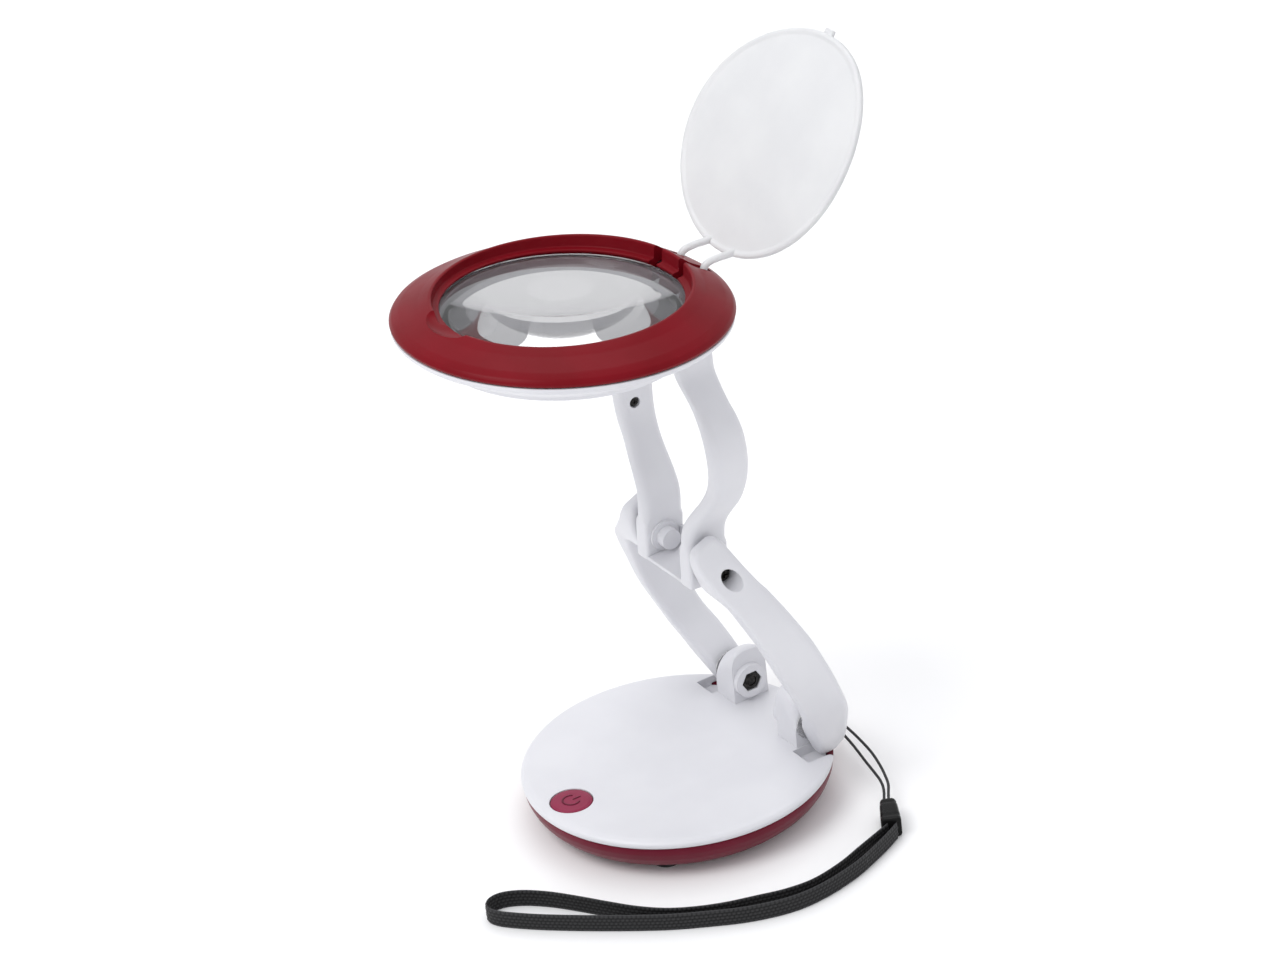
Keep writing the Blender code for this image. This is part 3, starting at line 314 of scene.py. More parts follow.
def make_webbing():
    """Black yarn, with a painted highlight where the ribs of the weave stand out and painted shade in the
    valleys between them.
    """
    material = new_material("fine_webbing", (0.014, 0.014, 0.015), 0.55)
    # Painted highlight on the raised ribs and painted shade in the valleys, both driven by the mesh's
    # pointiness
    relief = add_node(material, "ShaderNodeNewGeometry")
    ramp = add_node(material, "ShaderNodeValToRGB")
    ramp.color_ramp.elements[0].position = 0.47
    ramp.color_ramp.elements[0].color = (0.0015, 0.0015, 0.0015, 1.0)
    ramp.color_ramp.elements[1].position = 0.56
    ramp.color_ramp.elements[1].color = (0.040, 0.040, 0.042, 1.0)
    join(material, relief.outputs["Pointiness"], ramp.inputs["Fac"])
    join(material, ramp.outputs["Color"], shader_of(material).inputs["Base Color"])
    add_bump(material, 5200.0, 0.5, 0.0001)
    tune(material, {"Specular IOR Level": 0.25, "Sheen Weight": 0.04, "Sheen Roughness": 0.45})
    return material


def make_rubber():
    material = moulded_plastic("fine_rubber", (0.012, 0.012, 0.012), (0.024, 0.024, 0.024), 0.78)
    add_bump(material, 1800.0, 0.4, 0.0001)
    return material


def make_board():
    material = new_material("fine_circuit_board", (0.03, 0.18, 0.08), 0.45)
    vary_colour(material, 700.0, (0.02, 0.13, 0.055), (0.035, 0.19, 0.085))
    add_bump(material, 3000.0, 0.2, 0.00005)
    return material


def make_resin():
    material = moulded_plastic("fine_led_resin", (0.85, 0.80, 0.52), (0.92, 0.87, 0.62), 0.25)
    tune(material, {"Subsurface Weight": 0.2})
    return material


# A material's name, its darker and its paler colour and its roughness. A fifth value is the strength of
# its mirror reflection.
RED_PLASTIC = ("fine_red_plastic", (0.160, 0.0025, 0.007), (0.182, 0.0032, 0.009), 0.34, 0.10)
SHELL_PLASTIC = ("fine_shell_plastic", (0.125, 0.0035, 0.017), (0.145, 0.0045, 0.021), 0.34, 0.18)
BUTTON_PLASTIC = ("fine_button_plastic", (0.235, 0.012, 0.050), (0.26, 0.015, 0.058), 0.38, 0.3)
SYMBOL_PLASTIC = ("fine_symbol_plastic", (0.105, 0.003, 0.020), (0.12, 0.004, 0.024), 0.30, 0.2)
BLACK_PLASTIC = ("fine_black_plastic", (0.006, 0.006, 0.006), (0.011, 0.011, 0.011), 0.24, 0.10)
BLACK_STEEL = ("fine_black_steel", (0.020, 0.020, 0.020), (0.055, 0.052, 0.048), 0.36)
BRIGHT_STEEL = ("fine_bright_steel", (0.50, 0.50, 0.50), (0.64, 0.64, 0.64), 0.26)
SLEEVE_PLASTIC = ("fine_battery_sleeve", (0.09, 0.09, 0.10), (0.13, 0.13, 0.14), 0.30)

# Each look is a material and the name of its slot
WHITE = (make_white(), "white_plastic")
RED = (glossy_plastic(*RED_PLASTIC), "red_plastic")
SHELL_RED = (glossy_plastic(*SHELL_PLASTIC), "red_plastic")
BUTTON_RED = (glossy_plastic(*BUTTON_PLASTIC), "button_plastic")
SYMBOL_RED = (glossy_plastic(*SYMBOL_PLASTIC), "button_plastic")
FROSTED = (make_frosted(), "frosted_plastic")
ACRYLIC = (make_acrylic(), "lens_acrylic")
BLACK_METAL = (make_metal(*BLACK_STEEL), "black_steel")
BRIGHT_METAL = (make_metal(*BRIGHT_STEEL), "bright_steel")
WEBBING = (make_webbing(), "black_webbing")
BLACK_GLOSS = (glossy_plastic(*BLACK_PLASTIC), "black_plastic")
RUBBER = (make_rubber(), "black_rubber")
BOARD = (make_board(), "circuit_board")
SLEEVE = (moulded_plastic(*SLEEVE_PLASTIC), "battery_sleeve")
RESIN = (make_resin(), "led_resin")


# ---------------------------------------------------------------- frames and mesh helpers

def tilt_between(low, high):
    """Angle about X, in degrees, that turns +Z to the line from one (y, z) to another."""
    return math.degrees(math.atan2(low[0] - high[0], high[1] - low[1]))


def turned_frame(parent, location, tilt):
    """The matrix of a frame at a place in its parent, tipped about X by an angle in degrees."""
    return parent @ Matrix.Translation(Vector(location) * MM) @ Matrix.Rotation(math.radians(tilt), 4, "X")


LOWER_LENGTH = math.dist(BASE_HINGE, ELBOW)
UPPER_LENGTH = math.dist(ELBOW, HEAD_HINGE)
BASE = Matrix.Identity(4)
BUTTON = turned_frame(BASE, (0, BUTTON_Y, BASE_TOP), 0)
LOWER = turned_frame(BASE, (0, *BASE_HINGE), tilt_between(BASE_HINGE, ELBOW))
UPPER = turned_frame(BASE, (0, *ELBOW), tilt_between(ELBOW, HEAD_HINGE))
HEAD_PIVOT = turned_frame(BASE, (0, *HEAD_HINGE), -HEAD_TILT)
HEAD_OFFSET = Matrix.Rotation(math.radians(HEAD_TILT), 3, "X") @ Vector(
    (0, HEAD_CENTRE[0] - HEAD_HINGE[0], HEAD_CENTRE[1] - HEAD_HINGE[1]))
HEAD = turned_frame(HEAD_PIVOT, HEAD_OFFSET, 0)
COVER = turned_frame(HEAD, (0, *COVER_HINGE), COVER_OPEN_ANGLE)


def mesh_object(name, build):
    """A mesh object whose bmesh is filled by the function build."""
    mesh = bpy.data.meshes.new("work_" + name)
    bm = bmesh.new()
    build(bm)
    bmesh.ops.recalc_face_normals(bm, faces=bm.faces)
    bm.to_mesh(mesh)
    bm.free()
    obj = bpy.data.objects.new("work_" + name, mesh)
    bpy.context.scene.collection.objects.link(obj)
    return obj


def combine(obj, tool, operation="DIFFERENCE"):
    modifier = obj.modifiers.new(tool.name, "BOOLEAN")
    modifier.operation = operation
    modifier.solver = "EXACT"
    modifier.object = tool


def modifier_tools(obj):
    """The objects that an object's modifiers use, and those that theirs use in turn."""
    tools = []
    for modifier in obj.modifiers:
        tool = getattr(modifier, "object", None)
        if tool is not None:
            tools += [tool] + modifier_tools(tool)
    return tools


def apply_modifiers(obj):
    """Replaces the object's mesh by what its modifiers make of it, and removes their tools."""
    bpy.context.view_layer.update()
    graph = bpy.context.evaluated_depsgraph_get()
    mesh = bpy.data.meshes.new_from_object(obj.evaluated_get(graph))
    tools = modifier_tools(obj)
    obj.modifiers.clear()
    obj.data = mesh
    for tool in tools:
        bpy.data.objects.remove(tool, do_unlink=True)


def place(obj, node, body, look, matrix, sharp=38, stands_for=True):
    """Finishes a piece: applies its modifiers, moves its mesh to its frame and hangs it on its body."""
    material, slot = look
    apply_modifiers(obj)
    obj.data.transform(matrix)
    obj.name = "fine_" + node
    obj.data.name = obj.name
    obj.data.materials.clear()
    obj.data.materials.append(material)
    obj.data.shade_smooth()
    obj.data.set_sharp_from_angle(angle=math.radians(sharp))
    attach(obj, body)
    if stands_for:
        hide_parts(node)
    return obj


def box(name, low, high, round_edge=0.0):
    """A box between two corners in millimetres, with its edges bevelled if asked."""
    size = [(b - a) * MM for a, b in zip(low, high)]
    middle = [(a + b) / 2 * MM for a, b in zip(low, high)]

    def build(bm):
        bmesh.ops.create_cube(bm, size=1.0)
        bmesh.ops.scale(bm, vec=size, verts=bm.verts)
        bmesh.ops.translate(bm, vec=middle, verts=bm.verts)

    obj = mesh_object(name, build)
    if round_edge:
        bevel = obj.modifiers.new("round_edges", "BEVEL")
        bevel.width = round_edge * MM
        bevel.segments = 4
    return obj


def rod(name, start, end, radius, sides=48, end_radius=None):
    """A cylinder or cone from one point to another, in millimetres."""
    start, end = Vector(start), Vector(end)
    along = end - start

    def build(bm):
        bmesh.ops.create_cone(
            bm,
            cap_ends=True,
            segments=sides,
            radius1=radius * MM,
            radius2=(radius if end_radius is None else end_radius) * MM,
            depth=along.length * MM,
        )
        turn = Vector((0, 0, 1)).rotation_difference(along).to_matrix()
        bmesh.ops.rotate(bm, matrix=turn, verts=bm.verts)
        bmesh.ops.translate(bm, vec=(start + end) / 2 * MM, verts=bm.verts)

    return mesh_object(name, build)


def cross_rod(name, sign, near, far, axis, radius, sides=48):
    """A rod along X, between two distances from the middle plane, on an axis at the given (y, z)."""
    return rod(name, (sign * near, *axis), (sign * far, *axis), radius, sides)


def turned(name, profile, steps, closed=False):
    """A profile of (radius, height) turned about Z. Its outer side runs from top to bottom."""

    def build(bm):
        points = [bm.verts.new((r * MM, 0, z * MM)) for r, z in profile]
        for a, b in zip(points, points[1:]):
            bm.edges.new((a, b))
        if closed:
            bm.edges.new((points[-1], points[0]))

    obj = mesh_object(name, build)
    screw = obj.modifiers.new("turn", "SCREW")
    screw.steps = steps
    screw.render_steps = steps
    screw.use_merge_vertices = True
    screw.merge_threshold = 0.00001
    screw.use_smooth_shade = True
    return obj


def loft(name, sections):
    """A skin over sections, each a loop of points in millimetres, with its two ends capped."""

    def build(bm):
        loops = [[bm.verts.new(Vector(p) * MM) for p in section] for section in sections]
        count = len(loops[0])
        for low, high in zip(loops, loops[1:]):
            for i in range(count):
                j = (i + 1) % count
                bm.faces.new((low[i], low[j], high[j], high[i]))
        bm.faces.new(loops[0][::-1])
        bm.faces.new(loops[-1])

    obj = mesh_object(name, build)
    obj.data.shade_smooth()
    return obj


def corner_curve(back, here, ahead, radius, share, arc):
    """Points of a curve that cuts one corner and takes up at most a share of each side beside it."""
    here = Vector(here)
    before, after = Vector(back) - here, Vector(ahead) - here
    reach = min(radius, share * before.length, share * after.length)
    start, end = here + before.normalized() * reach, here + after.normalized() * reach
    points = []
    for step in range(arc + 1):
        t = step / arc
        point = start * (1 - t) ** 2 + here * 2 * t * (1 - t) + end * t**2
        points.append((point.x, point.y))
    return points


def round_profile(profile, radius, closed=False, arc=3):
    """The profile with its corners rounded. The two ends of an open one stay as they are."""
    count = len(profile)
    result = []
    for i, point in enumerate(profile):
        if not closed and i in (0, count - 1):
            result.append(point)
            continue
        result += corner_curve(profile[i - 1], point, profile[(i + 1) % count], radius, 0.4, arc)
    return result


def rounded_rectangle(x0, x1, y0, y1, radius, arc=6):
    """Corner points of a rectangle with round corners, anticlockwise."""
    radius = min(radius, abs(x1 - x0) / 2.02, abs(y1 - y0) / 2.02)
    corners = ((x1 - radius, y1 - radius), (x0 + radius, y1 - radius),
               (x0 + radius, y0 + radius), (x1 - radius, y0 + radius))
    points = []
    for quarter, (cx, cy) in enumerate(corners):
        for step in range(arc + 1):
            angle = math.radians(90 * (quarter + step / arc))
            points.append((cx + radius * math.cos(angle), cy + radius * math.sin(angle)))
    return points


def rounded_corners(corners, radii, arc=6):
    """The outline of a four-sided section with each corner rounded by its own radius."""
    points = []
    for i, (corner, radius) in enumerate(zip(corners, radii)):
        points += corner_curve(corners[i - 1], corner, corners[(i + 1) % len(corners)], radius, 0.45, arc)
    return points


def smooth_rows(rows, steps):
    """Rows of numbers with a smooth curve drawn through them, steps to each gap."""
    result = []
    for i in range(len(rows) - 1):
        a, b = rows[i], rows[i + 1]
        before, after = rows[max(i - 1, 0)], rows[min(i + 2, len(rows) - 1)]
        for k in range(steps):
            t = k / steps
            result.append([
                0.5 * (2 * q + (r - p) * t + (2 * p - 5 * q + 4 * r - s) * t**2
                       + (3 * q - p - 3 * r + s) * t**3)
                for p, q, r, s in zip(before, a, b, after)
            ])
    result.append(list(rows[-1]))
    return result


def on_circle(radius, degrees):
    angle = math.radians(degrees)
    return radius * math.cos(angle), radius * math.sin(angle)


# ---------------------------------------------------------------- strap

EYE = (0.0, 61.4, 9.9)  # middle of the cord's hole in the eye at the back of the base
CORD_DIAMETER = 1.1
CORD_ROUTE = (
    (64.3, 52.2, 6.3), (61.0, 54.5, 6.7), (56.6, 57.6, 7.1), (51.6, 59.8, 7.5), (45.6, 61.8, 8.3),
    (36.7, 64.0, 9.2), (26.4, 65.2, 10.2), (17.0, 66.0, 10.6), (8.0, 66.4, 10.5), (0.0, 66.5, 10.3),
    (-4.4, 66.3, 10.1), (-6.6, 65.4, 10.0), (-7.4, 63.8, 9.9), (-6.6, 62.2, 9.9), (-4.4, 61.4, 9.9),
    (0.0, 61.4, 9.9),
    (10.0, 62.6, 10.2), (19.0, 62.7, 10.0), (29.6, 61.0, 9.6), (39.6, 59.0, 8.8), (46.6, 57.9, 7.9),
    (52.4, 56.9, 7.0), (57.8, 54.6, 6.5), (63.4, 50.7, 6.0),
)
BAND_WIDTH = 7.0
BAND_THICKNESS = 1.1
BAND_ROUTE = (
    (79.9, 44.7), (83.0, 38.6), (86.6, 30.4), (91.0, 18.4), (94.0, 3.0), (93.8, -11.4), (88.9, -26.8),
    (81.0, -40.9), (72.0, -54.4), (58.4, -70.8), (44.8, -85.6), (35.4, -94.6), (28.6, -99.8), (23.6, -100.8),
    (20.2, -97.8), (19.9, -92.4), (23.8, -85.6), (31.2, -78.6), (41.0, -71.8), (51.2, -65.4), (61.0, -58.8),
    (69.4, -51.2), (75.8, -42.2), (80.6, -32.8), (84.6, -21.8), (88.2, -11.0), (89.6, 0.4), (87.4, 13.6),
    (83.6, 25.0), (80.5, 34.4), (78.1, 41.8),
)


def route_length(points):
    return sum((b - a).length for a, b in zip(points, points[1:]))


def make_strap_cord():
    """The thin cord, doubled, that runs through the eye at the back of the base."""
    points = [Vector(p) * MM for p in smooth_rows(CORD_ROUTE, 3)]
    curve = bpy.data.curves.new("fine_strap_cord", "CURVE")
    curve.dimensions = "3D"
    curve.bevel_depth = CORD_DIAMETER / 2 * MM
    curve.bevel_resolution = 4
    curve.use_fill_caps = True
    spline = curve.splines.new("POLY")
    spline.points.add(len(points) - 1)
    for target, point in zip(spline.points, points):
        target.co = (*point, 1.0)
    cord = bpy.data.objects.new("fine_strap_cord", curve)
    bpy.context.scene.collection.objects.link(cord)
    curve.materials.append(WEBBING[0])
    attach(cord, "base")
    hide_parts("strap_cord")


SLIDER_START = (64.7, 51.4, 4.5)
SLIDER_END = (78.4, 43.4, 4.3)
# Share of the way along the slider, half its width and half its height
SLIDER_ROWS = ((0.0, 1.6, 2.2), (0.015, 2.2, 2.8), (0.06, 2.9, 3.4), (0.3, 3.4, 3.7), (0.55, 3.6, 3.9),
               (0.85, 3.85, 4.1), (0.96, 3.8, 4.1), (0.99, 3.4, 3.8), (1.0, 2.9, 3.3))


def make_slider():
    """The tapered block that closes the band, with a shallow groove round it near each end."""
    start, end = Vector(SLIDER_START), Vector(SLIDER_END)
    along = (end - start).normalized()
    across = along.cross(Vector((0, 0, 1))).normalized()
    upward = across.cross(along)
    sections = []
    for share, wide, high in smooth_rows(SLIDER_ROWS, 5):
        share = min(max(share, 0.0), 1.0)
        groove = 0.22 if 0.17 < share < 0.21 or 0.78 < share < 0.82 else 0.0
        outline = rounded_rectangle(groove - wide, wide - groove, groove - high, high - groove, 1.3)
        middle = start.lerp(end, share)
        sections.append([middle + across * x + upward * y for x, y in outline])
    return place(loft("slider", sections), "strap_slider", "base", BLACK_GLOSS, BASE, 50)


WEAVE_PITCH = 1.7  # length of one rib of the band
WEAVE_ROWS = 5  # ribs side by side across the band
WEAVE_DEPTH = 0.30
WEAVE_STEP = 0.3  # length between the mesh's own rows
BAND_LOW = 0.1  # height of the band's lower edge above the floor
BAND_EDGE = 0.12  # half the thickness of its two edges
BAND_PATH_STEP = 3.0


def evenly_spaced(points, step):
    """Points at an even spacing along a route, both of its ends kept."""
    total = route_length(points)
    count = max(2, round(total / step))
    result, travelled, i = [points[0]], 0.0, 0
    for k in range(1, count):
        wanted = total * k / count
        while travelled + (points[i + 1] - points[i]).length < wanted:
            travelled += (points[i + 1] - points[i]).length
            i += 1
        share = (wanted - travelled) / (points[i + 1] - points[i]).length
        result.append(points[i].lerp(points[i + 1], share))
    return result + [points[-1]]


def band_section(share_up, side, distance):
    """How far the band's surface stands out from its middle plane at one point, as woven."""
    row = share_up * WEAVE_ROWS
    column = distance / WEAVE_PITCH + (0.5 if int(row) % 2 else 0.0)
    across_rib = abs(math.sin(math.pi * row)) ** 0.6
    along_rib = abs(math.sin(math.pi * column)) ** 0.7
    edge = math.sqrt(max(1 - (2 * share_up - 1) ** 8, 0.0))
    return side * (BAND_THICKNESS / 2 * edge - WEAVE_DEPTH * (1 - across_rib * along_rib))


def make_band():
    """The woven band, standing on its edge, with its ribs in relief on both faces."""
    route = evenly_spaced([Vector((x, y, 0)) for x, y in smooth_rows(BAND_ROUTE, 8)], WEAVE_STEP)
    steps_up = WEAVE_ROWS * 4
    sections = []
    for i, point in enumerate(route):
        ahead, behind = route[min(i + 2, len(route) - 1)], route[max(i - 2, 0)]
        outward = Vector((ahead.y - behind.y, behind.x - ahead.x, 0)).normalized()
        loop = []
        for side in (1, -1):
            for k in range(steps_up + 1):
                share_up = k / steps_up if side > 0 else 1 - k / steps_up
                out = band_section(share_up, side, i * WEAVE_STEP)
                if k in (0, steps_up):
                    out = BAND_EDGE * side
                loop.append(point + outward * out + Vector((0, 0, BAND_LOW + BAND_WIDTH * share_up)))
        sections.append(loop)
    band = place(loft("band", sections), "strap_band", "base", WEBBING, BASE, 75)
    middle = Vector((0, 0, BAND_LOW + BAND_WIDTH / 2))
    path = [(p + middle) * MM for p in evenly_spaced(route, BAND_PATH_STEP)]


# ---------------------------------------------------------------- base

def make_notch_cutter(side):
    name, sign = side
    xs = sorted((sign * NOTCH_INNER, sign * NOTCH_OUTER))
    return box(f"notch_{name}", (xs[0], NOTCH_FRONT, NOTCH_FLOOR), (xs[1], BASE_RADIUS + 4, BASE_TOP + 2))


def make_base_lower_shell():
    floor = 3.6
    profile = [(0, floor), (46, floor), (50, 4.7), (53, 6.8), (55.2, 9.4), (56.6, 12.0), (57.2, SHELL_TOP),
               (59.5, SHELL_TOP), (59.2, 11.8), (58.0, 8.8), (56.0, 6.0), (53.5, 3.8), (50.5, 2.3),
               (47.0, SHELL_BOTTOM), (0, SHELL_BOTTOM)]
    shell = turned("base_lower_shell", round_profile(profile, 0.6), ROUND_STEPS)
    combine(shell, box("door_hole", (-BAY_HALF_WIDTH, -BAY_HALF_LENGTH, 0),
                       (BAY_HALF_WIDTH, BAY_HALF_LENGTH, 5)))
    for side in SIDES:
        combine(shell, make_notch_cutter(side))
    for angle in BASE_SCREW_ANGLES:
        x, y = on_circle(BASE_SCREW_CIRCLE, angle)
        combine(shell, rod(f"base_screw_pad_{angle}", (x, y, 3.0), (x, y, 5.4), 4.4), "UNION")
        combine(shell, rod(f"base_screw_hole_{angle}", (x, y, 0), (x, y, 7), 1.8))
        combine(shell, rod(f"base_screw_sink_{angle}", (x, y, 0), (x, y, 3.7), 3.3))
    eye_x, eye_y, eye_z = EYE
    eye = box("strap_eye", (eye_x - 2.6, 57.4, eye_z - 2.4), (eye_x + 2.6, eye_y + 2.2, eye_z + 2.4), 0.7)
    combine(shell, eye, "UNION")
    combine(shell, rod("strap_eye_hole", (eye_x - 5, eye_y, eye_z), (eye_x + 5, eye_y, eye_z), 1.1))
    place(shell, "base_lower_shell", "base", SHELL_RED, BASE)


def lug_section(x, top):
    """Outline of a base lug in its YZ plane: straight sides under a flattened half ellipse."""
    arc_height = 9.0
    middle = (LUG_FRONT + LUG_REAR) / 2
    half = (LUG_REAR - LUG_FRONT) / 2
    points = [(x, LUG_REAR + 0.01, TOP_PLATE_UNDER + 0.6)]
    for step in range(37):
        angle = math.pi * step / 36
        across = math.copysign(abs(math.cos(angle)) ** LUG_SQUARENESS, math.cos(angle))
        rise = max(math.sin(angle), 0.0) ** LUG_SQUARENESS
        points.append((x, middle + half * across, top - arc_height + arc_height * rise))
    points.append((x, LUG_FRONT, TOP_PLATE_UNDER + 0.6))
    return points


def add_lug(plate, side):
    """One hinge lug with its round boss, joined to the top plate."""
    name, sign = side
    tops = ((LUG_INNER, LUG_TOP - 0.7), (LUG_INNER + 1.0, LUG_TOP), (18.0, LUG_TOP - 0.5),
            (21.0, LUG_TOP - 1.8), (24.0, LUG_TOP - 4.2), (26.2, LUG_TOP - 7.2), (LUG_OUTER, LUG_TOP - 9.4))
    lug = loft(f"lug_{name}", [lug_section(sign * x, top) for x, top in smooth_rows(tops, 3)])
    combine(plate, lug, "UNION")
    boss = cross_rod(f"lug_boss_{name}", sign, BOSS_INNER, LUG_INNER + 1, BASE_HINGE, BOSS_RADIUS)
    combine(plate, boss, "UNION")


def drill_lug(plate, side):
    name, sign = side
    pocket_radius = NUT_RADIUS + HOLE_CLEARANCE
    pocket = cross_rod(f"nut_pocket_{name}", sign, BOSS_INNER - 1, 15.9, BASE_HINGE, pocket_radius, 6)
    combine(plate, pocket)
    hole_radius = BOLT_RADIUS + HOLE_CLEARANCE
    combine(plate, cross_rod(f"bolt_hole_{name}", sign, 15.0, LUG_OUTER + 2, BASE_HINGE, hole_radius))


def make_base_top_plate():
    profile = [(0, BASE_TOP), (56.8, BASE_TOP), (58.7, 17.6), (59.7, 16.8), (BASE_RADIUS, 15.9),
               (59.8, SHELL_TOP + 0.3), (56.5, SHELL_TOP + 0.3), (56.5, 13.4), (54.9, 13.4),
               (54.9, TOP_PLATE_UNDER), (0, TOP_PLATE_UNDER)]
    plate = turned("base_top_plate", round_profile(profile, 0.35), ROUND_STEPS)
    for name, sign in SIDES:
        xs = sorted((sign * (NOTCH_INNER - 1.5), sign * (NOTCH_OUTER + 1.5)))
        pad = box(f"notch_pad_{name}", (xs[0], NOTCH_FRONT - 1.5, NOTCH_FLOOR - 1.6),
                  (xs[1], 58, TOP_PLATE_UNDER + 0.8))
        rim = rod(f"pad_rim_{name}", (0, 0, 5), (0, 0, 25), 56.4)
        combine(pad, rim, "INTERSECT")
        combine(plate, pad, "UNION")
    for angle in BASE_SCREW_ANGLES:
        x, y = on_circle(BASE_SCREW_CIRCLE, angle)
        post = rod(f"screw_post_{angle}", (x, y, 5.8), (x, y, TOP_PLATE_UNDER + 0.8), 3.2)
        combine(plate, post, "UNION")
    for side in SIDES:
        add_lug(plate, side)
    for side in SIDES:
        combine(plate, make_notch_cutter(side))
    for side in SIDES:
        drill_lug(plate, side)
    button_hole = rod("button_hole", (0, BUTTON_Y, TOP_PLATE_UNDER - 2), (0, BUTTON_Y, BASE_TOP + 2),
                      BUTTON_RADIUS + GAP)
    combine(plate, button_hole)
    for angle in BASE_SCREW_ANGLES:
        x, y = on_circle(BASE_SCREW_CIRCLE, angle)
        combine(plate, rod(f"screw_post_hole_{angle}", (x, y, 0), (x, y, 12.6), 1.7))
    place(plate, "base_top_plate", "base", WHITE, BASE)


def make_feet():
    """Rubber feet with a rounded rim and a shallow dish underneath."""
    profile = [(0, FLOOR_PAD), (FOOT_RADIUS, FLOOR_PAD), (FOOT_RADIUS, 0.5), (FOOT_RADIUS - 0.5, 0),
               (FOOT_RADIUS - 1.6, 0), (FOOT_RADIUS - 2.2, 0.35), (0, 0.35)]
    for number, angle in enumerate(FOOT_ANGLES, 1):
        x, y = on_circle(FOOT_CIRCLE, angle)
        foot = turned("foot", round_profile(profile, 0.3), 48)
        place(foot, f"rubber_foot_{number}", "base", RUBBER, turned_frame(BASE, (x, y, 0), 0))


SYMBOL_RADIUS = 3.3
SYMBOL_LINE = 0.42  # half the width of the symbol's strokes
SYMBOL_GAP = 48  # degrees left open at the top of the arc, on each side


def stroke(name, route):
    """A low rounded ridge that follows a route on the cap of the button."""
    sections = []
    for i, (x, y) in enumerate(route):
        ahead, behind = route[min(i + 1, len(route) - 1)], route[max(i - 1, 0)]
        side = Vector((ahead[1] - behind[1], behind[0] - ahead[0])).normalized()
        size = 0.55 if i in (0, len(route) - 1) else 1.0
        ring = []
        for step in range(16):
            across, lift = on_circle(SYMBOL_LINE * size, 360 * step / 16)
            ring.append((x + side.x * across, y + side.y * across, 0.32 + 0.6 * lift))
        sections.append(ring)
    return loft(name, sections)


def make_button():
    """The domed cap, a moat round its rim, and a plain power sign in low relief."""
    cap_low = -2.0
    profile = [(0, 0.35), (5.0, 0.3), (7.0, 0.14), (7.3, -0.05), (7.5, -0.05), (7.7, 0.0),
               (BUTTON_RADIUS, -0.4), (BUTTON_RADIUS, cap_low), (2.0, cap_low), (2.0, -4.6), (0, -4.6)]
    cap = turned("button", round_profile(profile, 0.25), 96)
    place(cap, "power_button", "power_button", BUTTON_RED, BUTTON)
    arc = [on_circle(SYMBOL_RADIUS, 90 + SYMBOL_GAP + (360 - 2 * SYMBOL_GAP) * k / 40) for k in range(41)]
    line = [(0, 0.6 + 3.6 * k / 6) for k in range(7)]
    for name, route in (("power_sign_arc", arc), ("power_sign_line", line)):
        place(stroke(name, route), name, "power_button", SYMBOL_RED, BUTTON, 60, stands_for=False)


def make_nuts():
    """Hexagonal nuts with their corners turned off at the faces and a bored middle."""
    for name, sign in SIDES:
        nut = cross_rod("nut", sign, 12.6, 15.5, BASE_HINGE, NUT_RADIUS, 6)
        corners = turned("nut_corners", [(0, 1.5), (NUT_RADIUS - 0.7, 1.5), (NUT_RADIUS + 0.05, 1.0),
                                         (NUT_RADIUS + 0.05, -1.0), (NUT_RADIUS - 0.7, -1.5), (0, -1.5)], 64)
        apply_modifiers(corners)
        middle = turned_frame(BASE, (sign * 14.05, *BASE_HINGE), 0)
        corners.data.transform(middle @ Matrix.Rotation(math.radians(90), 4, "Y"))
        combine(nut, corners, "INTERSECT")
        combine(nut, cross_rod("nut_thread", sign, 12, 17, BASE_HINGE, BOLT_RADIUS + 0.2))
        place(nut, f"base_hinge_nut_{name}", "base", BLACK_METAL, BASE)


# ---------------------------------------------------------------- arms

# Height along the arm, then the x of the inner face, of the outer face at its front and of the outer face
# at its rear, then front y and rear y. The arm bows outwards like the rim of the base.
LOWER_BAR_ROWS = (
    (-11.6, 29.6, 34.0, 35.4, -2.0, 3.0),
    (-9.0, BAR_FACE, 35.5, 37.4, -5.0, 7.0),
    (-4.0, BAR_FACE, 38.5, 41.0, -5.2, 8.0),
    (4.0, 30.0, 44.0, 46.5, -5.4, 8.4),
    (12.0, 35.5, 46.6, 52.0, -5.7, 8.9),
    (20.0, 40.3, 49.1, 56.8, -6.2, 8.6),
    (28.0, 42.5, 49.8, 58.0, -6.6, 8.9),
    (36.0, 43.3, 49.9, 57.4, -7.1, 9.4),
    (44.0, 43.1, 50.2, 55.8, -7.5, 9.8),
    (52.0, 42.0, 49.6, 53.4, -7.4, 10.1),
    (60.0, 39.9, 48.3, 50.5, -7.2, 9.7),
    (68.0, 37.0, 46.5, 47.4, -7.3, 9.1),
    (76.0, 33.4, 43.6, 43.8, -7.3, 8.2),
)
LOWER_TOP_ROWS = (
    (78.0, 28.0, 41.9, 42.1, -7.4, 7.8),
    (79.6, KNUCKLE_FACE, 40.4, 40.6, -7.5, 7.6),
    (85.0, KNUCKLE_FACE, 34.8, 35.0, -7.6, 7.5),
    (90.0, KNUCKLE_FACE, 30.0, 30.2, -7.2, 7.6),
    (94.0, KNUCKLE_FACE, 27.2, 27.4, -6.2, 7.2),
    (96.6, KNUCKLE_FACE + 0.5, 25.6, 25.8, -4.6, 6.0),
    (97.6, KNUCKLE_FACE + 1.4, 24.6, 24.8, -2.4, 4.4),
)
LOWER_BAR_ROUNDING = (1.6, 3.0, 4.0, 4.5)  # front outer, front inner, rear inner and rear outer edges


